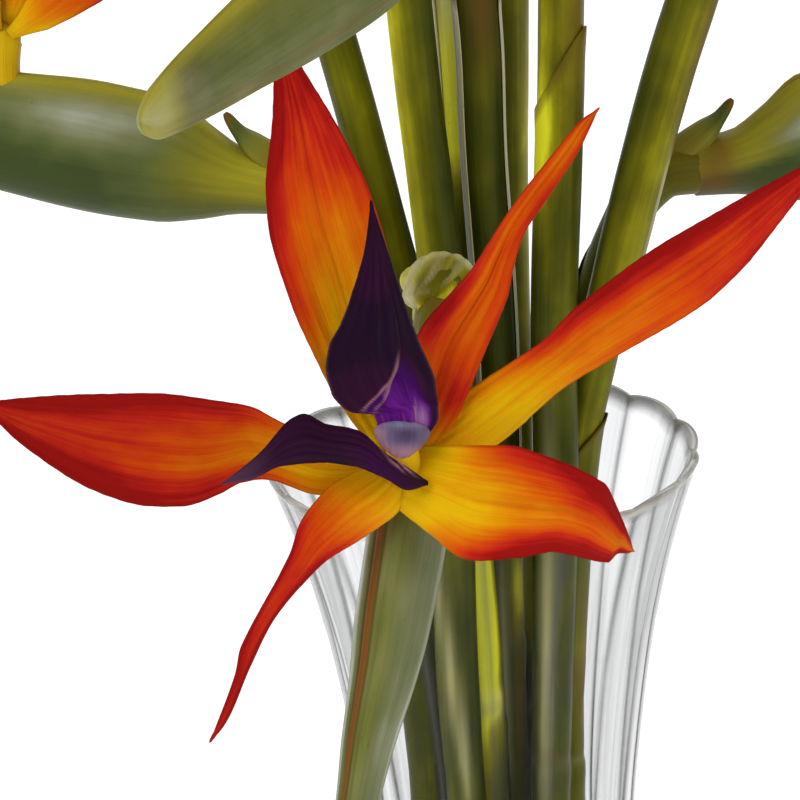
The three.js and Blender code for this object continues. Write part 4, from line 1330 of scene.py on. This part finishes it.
VASE_HEIGHT = 215
RIM_RADIUS = 58
WAIST_RADIUS = 34.8
WAIST_HEIGHT = 100
FOOT_RADIUS = 42
FLARE_POWER = 1.85
GLASS_FLOOR = 10
FLUTES = 16
FLUTE_SHARPNESS = 2.2
FIRST_FLUTE = 20
FLUTE_COLUMNS = 14
PATTERN_GIRTH = 300
OUTER_ROWS, BRIM_ROWS, INNER_ROWS = 74, 7, 62
INNER_FLUTE_SHARE = 0.45
RIM_SCALLOP = 0.6
SCALLOP_FROM = 170
WALL_SWELL = 2.2
BOWL_TOP = GLASS_FLOOR + 8
BOWL_ROUNDING = 7.6
GLASS_IOR = 1.45

# The ring that all but closes a surface at its middle
MIDDLE_RING = 0.02

# The foot from the middle of its under side outwards: radius and height
FOOT_PROFILE = [
    (MIDDLE_RING, 2), (FOOT_RADIUS * 0.5, 1.8), (FOOT_RADIUS * 0.78, 1.2), (FOOT_RADIUS - 5.5, 0.4),
    (FOOT_RADIUS - 4, 0), (FOOT_RADIUS - 2.4, 0), (FOOT_RADIUS - 1, 0.5), (FOOT_RADIUS - 0.25, 1.3),
]

# How far water climbs where it wets glass and stems, how fast that dies away, and how far from the
# wall its curved edge is divided
MENISCUS = 1.6
STEM_MENISCUS = 0.9
MENISCUS_REACH = 1.1
MENISCUS_STEPS = (0.4, 1, 1.8, 2.8, 4)
WATER_IOR = 1.33


def vase_radius(height):
    above = height > WAIST_HEIGHT
    span = np.where(above, VASE_HEIGHT - WAIST_HEIGHT, WAIST_HEIGHT)
    end = np.where(above, RIM_RADIUS, FOOT_RADIUS)
    flare = (end - WAIST_RADIUS) * (np.abs(height - WAIST_HEIGHT) / span) ** FLARE_POWER
    return WAIST_RADIUS + flare + WALL_SWELL * hump(height, 135, 45)


def flute(angle):
    """How far a flute draws the glass in at an angle, as a share of its depth."""
    share = ((angle - FIRST_FLUTE) / 360 * FLUTES) % 1
    return np.abs(2 * share - 1) ** FLUTE_SHARPNESS


def add_vase(shape, look):
    """The glass in rings from the middle of the foot up, over the brim and down to the bowl's middle."""
    wall, flute_depth = look.thickness / MM, look.flute_depth / MM
    share = np.linspace(-1, 1, FLUTE_COLUMNS, endpoint=False)
    share = 0.5 + 0.5 * np.sign(share) * (1 - (1 - np.abs(share)) ** 1.5)
    angle = FIRST_FLUTE + (np.arange(FLUTES)[:, None] + share[None, :]).reshape(1, -1) * 360 / FLUTES
    drawn = flute(angle)
    rim = wall / 2
    outer_heights = np.concatenate([[2.2, 3.5], np.linspace(6, VASE_HEIGHT - rim, OUTER_ROWS)])
    inner_heights = np.concatenate([np.linspace(VASE_HEIGHT - rim, BOWL_TOP, INNER_ROWS),
                                    BOWL_TOP - BOWL_ROUNDING * np.sin(np.linspace(0.25, 1.5, 6))])
    rows = []
    for radius, height in FOOT_PROFILE:
        fluted = radius > FOOT_RADIUS - 3
        rows.append((radius - 0.2 * flute_depth * drawn * fluted, height))
    for height in outer_heights:
        depth = flute_depth * ramp_up(height, 0, 14)
        rows.append((vase_radius(height) - depth * drawn, height))
    for step in np.linspace(0.12, 0.88, BRIM_ROWS) * math.pi:
        middle = RIM_RADIUS - rim - flute_depth * drawn * (0.5 + 0.5 * math.cos(step) * 0.6 + 0.2)
        rows.append((middle + rim * math.cos(step), VASE_HEIGHT - rim + rim * math.sin(step)))
    for height in inner_heights:
        depth = INNER_FLUTE_SHARE * flute_depth * ramp_up(height, 20, 60)
        sunk = min(max(BOWL_TOP - height, 0), BOWL_ROUNDING)
        curve = BOWL_ROUNDING - math.sqrt(max(BOWL_ROUNDING ** 2 - sunk ** 2, 0))
        rows.append((vase_radius(height) - wall - depth * drawn - curve, height))
    rows += [(radius, GLASS_FLOOR + 0.1) for radius in (18, 9, MIDDLE_RING)]
    radius, height = [np.concatenate([np.broadcast_to(value, drawn.shape) for value in column])
                      for column in zip(*rows)]
    scallop = RIM_SCALLOP * ramp_up(height, SCALLOP_FROM, VASE_HEIGHT) * (1 - 2 * drawn)
    lifted = height + scallop - RIM_SCALLOP * (height > SCALLOP_FROM)
    turn = np.radians(angle)
    surface = stack(radius * np.cos(turn), radius * np.sin(turn), lifted)
    place = stack(angle / 360 * PATTERN_GIRTH + 0 * radius, height, 0)
    apart = ((angle - FIRST_FLUTE) / 360 * FLUTES + 0.5) % 1 - 0.5
    outer = np.arange(len(radius))[:, None] < len(FOOT_PROFILE) + len(outer_heights)
    # Grey lines along the ribs of the outer wall, each with a softer band beside it, paint the refraction
    # and shade of the flutes.
    dark = hump(apart, 0, 0.085) + 0.22 * hump(apart, 0.2, 0.13)
    rib = np.where(outer, dark, 0) * ramp_up(height, 14, 40)
    brim = ramp_up(height, VASE_HEIGHT - 3.2, VASE_HEIGHT - 1)
    foot = 1 - ramp_up(height, GLASS_FLOOR - 2, GLASS_FLOOR + 14)
    add_hose(shape, surface, place, stack(rib, brim, foot))


def add_water(shape, level, wall, columns=96):
    """Water that wets the glass and climbs a little up the wall and the stems."""
    angle = np.radians(np.linspace(0, 360, columns, endpoint=False))[None, :]
    rows = [(radius, GLASS_FLOOR + 0.25) for radius in (MIDDLE_RING, 12, 22, 30)]
    rows += [(vase_radius(BOWL_TOP) - wall - 5, GLASS_FLOOR + 1.2)]
    for height in np.linspace(BOWL_TOP, level + MENISCUS, 26):
        rows.append((vase_radius(height) - wall + 0.04, height))
    edge = vase_radius(level) - wall
    for inset in MENISCUS_STEPS:
        rows.append((edge - inset, level + MENISCUS * math.exp(-inset / MENISCUS_REACH)))
    for radius in np.linspace(edge - 5.5, MIDDLE_RING, 30):
        rows.append((radius, level))
    radius, height = np.array(rows, float).T[..., None]
    x, y = radius * np.cos(angle), radius * np.sin(angle)
    climb = 0 * x
    for bloom in BLOOMS:
        apart = np.hypot(x - bloom["foot"][0], y - bloom["foot"][1]) - STEM_FOOT_RADIUS
        wetting = STEM_MENISCUS * np.exp(-np.maximum(apart, 0) / MENISCUS_REACH)
        climb = climb + np.where(height > level - 1, wetting, 0)
    surface = stack(x, y, height + np.minimum(climb, 1.2))
    add_hose(shape, surface, stack(x, y, height), (0, 0, 0))


def glass_material(look):
    """Clear thin glass, nearly see-through on its walls and greyer along ribs, brim, foot and edge."""
    nodes = Nodes("glass_finish")
    rib, brim, foot = nodes.paint()
    streak = nodes.noise(nodes.place(0.35, 0.012), detail=2)
    swirl = nodes.noise(nodes.place(0.1, 0.25), detail=2)
    edge = nodes.node("ShaderNodeLayerWeight")
    edge.inputs["Blend"].default_value = 0.5
    solid = nodes.spread(edge.outputs["Facing"], 0.6, 1, 0, look.edge)
    turned_away = nodes.spread(edge.outputs["Facing"], 0.1, 0.34, 0.1, 1)
    # The ribs' grey paints the refraction and shade of the flutes, stronger where the wall turns away.
    seen_rib = nodes.math("MULTIPLY", rib, turned_away)
    fine_rib = nodes.math("MULTIPLY", seen_rib, nodes.spread(streak, 0.3, 0.7, 0.5, 1))
    for weight, amount in ((fine_rib, look.rib), (brim, look.brim), (foot, look.foot)):
        solid = nodes.math("ADD", solid, nodes.math("MULTIPLY", weight, amount))
    solid = nodes.math("ADD", solid, nodes.spread(streak, 0.35, 0.7, 0.3 * look.wall, 1.7 * look.wall))
    nodes.feed("Alpha", nodes.math("MINIMUM", solid, 0.96))
    tone = nodes.math("MULTIPLY", nodes.math("ADD", brim, foot), nodes.spread(swirl, 0.32, 0.66, 0.3, 0.85))
    deep, pale = tuple(look.tint), tuple(look.brim_tint)
    nodes.feed("Base Color", nodes.ramp(tone, [(0.0, deep), (0.85, pale)]))
    nodes.feed("Roughness", nodes.spread(streak, 0.3, 0.7, 0.02, 0.09))
    nodes.feed("Transmission Weight", nodes.math("MULTIPLY", foot, 0.9))
    nodes.keep("IOR", GLASS_IOR)
    return nodes.material


def water_material(look):
    nodes = Nodes("water_finish")
    nodes.keep("Transmission Weight", 1)
    nodes.keep("IOR", WATER_IOR)
    cloud = nodes.noise(nodes.place(0.04, 0.04, 0.04), detail=2)
    stops = [(0.3, tuple(look.clear)), (0.8, tuple(look.cloudy))]
    nodes.feed("Base Color", nodes.ramp(cloud, stops))
    nodes.feed("Roughness", nodes.spread(cloud, 0.3, 0.8, 0.0, 0.015))
    nodes.bump(nodes.noise(nodes.place(0.25, 0.25, 0.25), detail=1), 0.05)
    return nodes.material


# Stage

# The camera's place is in millimetres; floor and lights are in metres. A light has its place, the
# point that it is turned to and its size.
CAMERA_PLACE = (-21.28, -1385.15, 790.84)
CAMERA_PITCH = 22
CAMERA_ROLL = 3.15
CAMERA_LENS = 253.8
SENSOR = 36
FLOOR_SIZE = 9
LIGHTS = {
    "key": ((-1.3, -1.5, 1.9), (0, 0, 0.25), (1.6, 1.6)),
    "fill": ((1.6, -1.2, 1.0), (0, 0, 0.25), (1.2, 1.6)),
    "back": ((0.4, 1.7, 1.5), (0, 0, 0.3), (1.6, 1)),
}


def floor_material(look):
    nodes = Nodes("floor_finish")
    speck = nodes.noise(nodes.node("ShaderNodeTexCoord").outputs["Object"], detail=3)
    pale = tuple(look.floor_colour)
    paler = tuple(min(channel * 1.02, 1) for channel in pale)
    nodes.feed("Base Color", nodes.ramp(speck, [(0.2, pale), (0.9, paler)]))
    nodes.keep("Roughness", 0.9)
    nodes.keep("Specular IOR Level", 0.1)
    nodes.keep("Emission Color", (1, 1, 1, 1))
    nodes.keep("Emission Strength", look.floor_glow)
    return nodes.material


def make_floor(look):
    mesh = bpy.data.meshes.new("floor_mesh")
    reach = FLOOR_SIZE / 2
    corners = [(-reach, -reach, 0), (reach, -reach, 0), (reach, reach, 0), (-reach, reach, 0)]
    mesh.from_pydata(corners, [], [(0, 1, 2, 3)])
    floor = bpy.data.objects.new("floor", mesh)
    mesh.materials.append(floor_material(look))
    bpy.context.collection.objects.link(floor)


def make_light(name, place, target, size, power):
    data = bpy.data.lights.new(name, "AREA")
    data.shape = "RECTANGLE"
    data.size, data.size_y = size
    data.energy = power
    light = bpy.data.objects.new(name, data)
    light.location = place
    aim = Vector(target) - Vector(place)
    light.rotation_euler = aim.to_track_quat("-Z", "Y").to_euler()
    bpy.context.collection.objects.link(light)


def make_camera():
    pitch, roll = math.radians(CAMERA_PITCH), math.radians(CAMERA_ROLL)
    forward = Vector((0, math.cos(pitch), -math.sin(pitch)))
    level_up = Vector((0, math.sin(pitch), math.cos(pitch)))
    right = math.cos(roll) * Vector((1, 0, 0)) - math.sin(roll) * level_up
    up = math.sin(roll) * Vector((1, 0, 0)) + math.cos(roll) * level_up
    data = bpy.data.cameras.new("camera")
    data.lens = CAMERA_LENS
    data.sensor_width = SENSOR
    data.clip_end = 50
    camera = bpy.data.objects.new("camera", data)
    turn = Matrix((right, up, -forward)).transposed().to_4x4()
    camera.matrix_world = Matrix.Translation(Vector(CAMERA_PLACE) * MM) @ turn
    bpy.context.collection.objects.link(camera)
    bpy.context.scene.camera = camera


def make_surroundings(look):
    world = bpy.data.worlds.new("studio")
    world.use_nodes = True
    background = world.node_tree.nodes["Background"]
    background.inputs["Color"].default_value = (*look.sky_colour, 1)
    background.inputs["Strength"].default_value = look.sky_strength
    bpy.context.scene.world = world
    bpy.context.scene.view_settings.view_transform = "Standard"


# Settings, operators and panel

def colour_setting(name, description, code):
    return bpy.props.FloatVectorProperty(name=name, description=description, subtype="COLOR", size=3,
                                         min=0, max=1, default=linear(code))


def size_setting(name, description, metres):
    return bpy.props.FloatProperty(name=name, description=description, unit="LENGTH", precision=5,
                                   min=0, max=1, default=metres)


def share_setting(name, description, value):
    return bpy.props.FloatProperty(name=name, description=description, subtype="FACTOR", min=0, max=1,
                                   default=value)


def strength_setting(name, description, value):
    return bpy.props.FloatProperty(name=name, description=description, min=0, max=10, default=value)


def power_setting(name, description, watts):
    return bpy.props.FloatProperty(name=name, description=description, unit="POWER", min=0, max=100,
                                   default=watts)


class ColourSettings(bpy.types.PropertyGroup):
    """A group whose colours run from one end of a piece's tones to the other, then two more."""

    def colours(self):
        kinds = self.bl_rna.properties
        return [key for key in type(self).__annotations__ if kinds[key].subtype == "COLOR"]


class SepalSettings(ColourSettings):
    root: colour_setting("Root", "Yellow at the root of a blade", "dcae08")
    second: colour_setting("Second", "Next tone from root to edge", "d98c06")
    third: colour_setting("Third", "Orange of the inner half", "d26808")
    fourth: colour_setting("Fourth", "Deeper orange", "cb420a")
    fifth: colour_setting("Fifth", "Red of the outer half", "b92015")
    edge: colour_setting("Edge", "Dark red at edge and tip", "930c10")
    cream: colour_setting("Cream", "Yellow-green of the stalk and throat", "b9a31c")
    # Crease colours the painted shade along the middle fold and over a shaded blade, and the dark hem.
    crease: colour_setting("Crease", "Dark line along the middle and hem", "5f0c08")
    thickness: size_setting("Thickness", "Thickness of a blade along its middle", 0.0009)


class PetalSettings(ColourSettings):
    darkest: colour_setting("Darkest", "Tone in the folds and at the tips", "1b0a13")
    second: colour_setting("Second", "Dark purple", "2b0c1d")
    third: colour_setting("Third", "Purple", "2e082c")
    fourth: colour_setting("Fourth", "Lit purple", "38054c")
    fifth: colour_setting("Fifth", "Violet at the root", "611678")
    lightest: colour_setting("Lightest", "Lightest violet", "a24a8c")
    # Grey also colours the painted highlight on the arrowhead's right lobe and along the dome's top.
    grey: colour_setting("Grey", "Bloom on the dome and worn spots", "8f88a6")
    # Pink lines are pale edges, and along the folds also painted highlights.
    pink: colour_setting("Pink", "Torn and folded lines", "b98087")
    thickness: size_setting("Thickness", "Thickness of a petal along its middle", 0.0009)


class SpatheSettings(ColourSettings):
    # Darkest mostly paints shade on the under sides, and fourth and lightest paint highlights where light
    # catches the wax bloom.
    darkest: colour_setting("Darkest", "Tone on the under side", "38431e")
    second: colour_setting("Second", "Green of the flanks", "515b2d")
    third: colour_setting("Third", "Grey-green", "6e7149")
    fourth: colour_setting("Fourth", "Lit grey-green", "8b8f73")
    lightest: colour_setting("Lightest", "Wax bloom in the light", "b6b8ab")
    olive: colour_setting("Olive", "Yellow-green of neck, crest and tip", "9e951a")
    brown: colour_setting("Brown", "Lips and stains", "76440f")


class StemSettings(ColourSettings):
    darkest: colour_setting("Darkest", "Tone on the shaded side", "2b3109")
    second: colour_setting("Second", "Dark olive", "474a0a")
    third: colour_setting("Third", "Olive", "6b6a0a")
    fourth: colour_setting("Fourth", "Yellow-green", "9c9710")
    lightest: colour_setting("Lightest", "Brightest yellow-green", "ecec2c")
    # Margin also colours the pale bands that paint highlights on the stems inside the vase.
    margin: colour_setting("Margin", "Pale margins of the sheaths", "cfcaa2")
    brown: colour_setting("Brown", "Rims, joints and stains", "5d3c17")
    sheath: size_setting("Sheath", "Thickness of a leaf sheath", 0.0004)
    joint_swell: size_setting("Joint swell", "How far a stem swells at its joints", 0.0003)


class VaseSettings(bpy.types.PropertyGroup):
    thickness: size_setting("Wall thickness", "Thickness of the glass", 0.003)
    flute_depth: size_setting("Flute depth", "How deep the flutes are", 0.0012)
    # Tint colours the painted grey lines along the ribs and the edges.
    tint: colour_setting("Tint", "Colour of the glass along its ribs and edges", "323230")
    brim_tint: colour_setting("Brim", "Colour of the glass round its brim", "b5b0a2")
    wall: share_setting("Wall", "How much the walls hold back of what is behind them", 0.065)
    rib: share_setting("Ribs", "How much the ribs hold back of what is behind them", 0.85)
    brim: share_setting("Brim strength", "How much the brim holds back of what is behind it", 0.7)
    foot: share_setting("Foot strength", "How much of the foot is clear, bending glass", 0.9)
    edge: share_setting("Edge", "How much the glass holds back where it is seen edge on", 0.45)


class WaterSettings(bpy.types.PropertyGroup):
    level: size_setting("Level", "Height of the water above the floor", 0.092)
    clear: colour_setting("Colour", "Colour of the water where it is clearest", "f7fbfa")
    cloudy: colour_setting("Cloud", "Colour of the water where it is cloudy", "eef6f3")


class StageSettings(bpy.types.PropertyGroup):
    floor_colour: colour_setting("Floor", "Colour of the floor", "f4f4f4")
    floor_glow: strength_setting("Floor glow", "Light of the floor, which keeps shadows faint", 0.32)
    sky_colour: colour_setting("Surroundings", "Colour of the light from all round", "f9fcff")
    sky_strength: strength_setting("Surrounding light", "Strength of the light from all round", 0.5)
    key_power: power_setting("Key light", "Power of the light from the front left", 31)
    fill_power: power_setting("Fill light", "Power of the light from the front right", 10)
    back_power: power_setting("Back light", "Power of the light from behind", 13)


class ArrangementSettings(bpy.types.PropertyGroup):
    sepals: bpy.props.PointerProperty(type=SepalSettings, name="Sepals", description="Orange blades")
    petals: bpy.props.PointerProperty(type=PetalSettings, name="Petals", description="Purple blades")
    spathes: bpy.props.PointerProperty(type=SpatheSettings, name="Spathes", description="Beaked leaves")
    stems: bpy.props.PointerProperty(type=StemSettings, name="Stems", description="Stems and their sheaths")
    vase: bpy.props.PointerProperty(type=VaseSettings, name="Vase", description="Glass of the vase")
    water: bpy.props.PointerProperty(type=WaterSettings, name="Water", description="Water in the vase")
    stage: bpy.props.PointerProperty(type=StageSettings, name="Stage", description="Floor and lights")


def make_each(kind, shapes, material):
    """Makes one kind of piece for each of the ten blooms."""
    for bloom, shape in zip(BLOOMS, shapes):
        new_piece(kind + "_" + bloom["name"], shape, material)


class FLOWERS_OT_vase(bpy.types.Operator):
    """Make the fluted glass vase"""
    bl_idname = "flowers.vase"
    bl_label = "Vase"

    def execute(self, context):
        look = context.scene.arrangement.vase
        shape = Shape()
        add_vase(shape, look)
        new_piece("vase", shape, glass_material(look))
        return {"FINISHED"}


class FLOWERS_OT_water(bpy.types.Operator):
    """Make the water in the vase"""
    bl_idname = "flowers.water"
    bl_label = "Water"

    def execute(self, context):
        look = context.scene.arrangement
        shape = Shape()
        add_water(shape, look.water.level / MM, look.vase.thickness / MM)
        new_piece("water", shape, water_material(look.water))
        return {"FINISHED"}


class FLOWERS_OT_stems(bpy.types.Operator):
    """Make the ten stems with their sheaths"""
    bl_idname = "flowers.stems"
    bl_label = "Stems"

    def execute(self, context):
        look = context.scene.arrangement.stems
        shapes = [stem_of(bloom, number, look) for number, bloom in enumerate(BLOOMS)]
        make_each("stem", shapes, stem_material(look))
        return {"FINISHED"}


class FLOWERS_OT_spathes(bpy.types.Operator):
    """Make the ten spathes with the horn at their neck"""
    bl_idname = "flowers.spathes"
    bl_label = "Spathes"

    def execute(self, context):
        look = context.scene.arrangement.spathes
        shapes = [spathe_of(bloom, number) for number, bloom in enumerate(BLOOMS)]
        make_each("spathe", shapes, spathe_material(look))
        return {"FINISHED"}


class FLOWERS_OT_sepals(bpy.types.Operator):
    """Make the orange sepals of the ten blooms with their stalks"""
    bl_idname = "flowers.sepals"
    bl_label = "Sepals"

    def execute(self, context):
        look = context.scene.arrangement.sepals
        shapes = [sepals_of(bloom, number, look) for number, bloom in enumerate(BLOOMS)]
        make_each("sepals", shapes, sepal_material(look))
        return {"FINISHED"}


class FLOWERS_OT_petals(bpy.types.Operator):
    """Make the purple petals of the ten blooms"""
    bl_idname = "flowers.petals"
    bl_label = "Petals"

    def execute(self, context):
        look = context.scene.arrangement.petals
        shapes = [petals_of(bloom, number, look) for number, bloom in enumerate(BLOOMS)]
        make_each("petals", shapes, petal_material(look))
        return {"FINISHED"}


class FLOWERS_OT_stage(bpy.types.Operator):
    """Make the floor, the studio light and the camera"""
    bl_idname = "flowers.stage"
    bl_label = "Stage"

    def execute(self, context):
        look = context.scene.arrangement.stage
        make_surroundings(look)
        make_floor(look)
        for name, (place, target, size) in LIGHTS.items():
            make_light(name + "_light", place, target, size, getattr(look, name + "_power"))
        make_camera()
        return {"FINISHED"}


class FLOWERS_PT_panel(bpy.types.Panel):
    """Lists the pieces of the arrangement and its settings"""
    bl_idname = "FLOWERS_PT_panel"
    bl_label = "Flowers in a vase"
    bl_space_type = "VIEW_3D"
    bl_region_type = "UI"
    bl_category = "Flowers"

    def draw(self, context):
        for operator in OPERATORS:
            self.layout.operator(operator.bl_idname)
        arrangement = context.scene.arrangement
        for name in type(arrangement).__annotations__:
            group = getattr(arrangement, name)
            box = self.layout.box()
            box.label(text=name.capitalize())
            for key in type(group).__annotations__:
                box.prop(group, key)


OPERATORS = [FLOWERS_OT_vase, FLOWERS_OT_water, FLOWERS_OT_stems, FLOWERS_OT_spathes,
             FLOWERS_OT_sepals, FLOWERS_OT_petals, FLOWERS_OT_stage]
CLASSES = [SepalSettings, PetalSettings, SpatheSettings, StemSettings, VaseSettings, WaterSettings,
           StageSettings, ArrangementSettings, *OPERATORS, FLOWERS_PT_panel]


def register():
    for item in CLASSES:
        bpy.utils.register_class(item)
    bpy.types.Scene.arrangement = bpy.props.PointerProperty(type=ArrangementSettings)


def unregister():
    del bpy.types.Scene.arrangement
    for item in reversed(CLASSES):
        bpy.utils.unregister_class(item)


def main():
    register()
    bpy.ops.flowers.vase()
    bpy.ops.flowers.water()
    bpy.ops.flowers.stems()
    bpy.ops.flowers.spathes()
    bpy.ops.flowers.sepals()
    bpy.ops.flowers.petals()
    bpy.ops.flowers.stage()


if __name__ == "__main__":
    main()
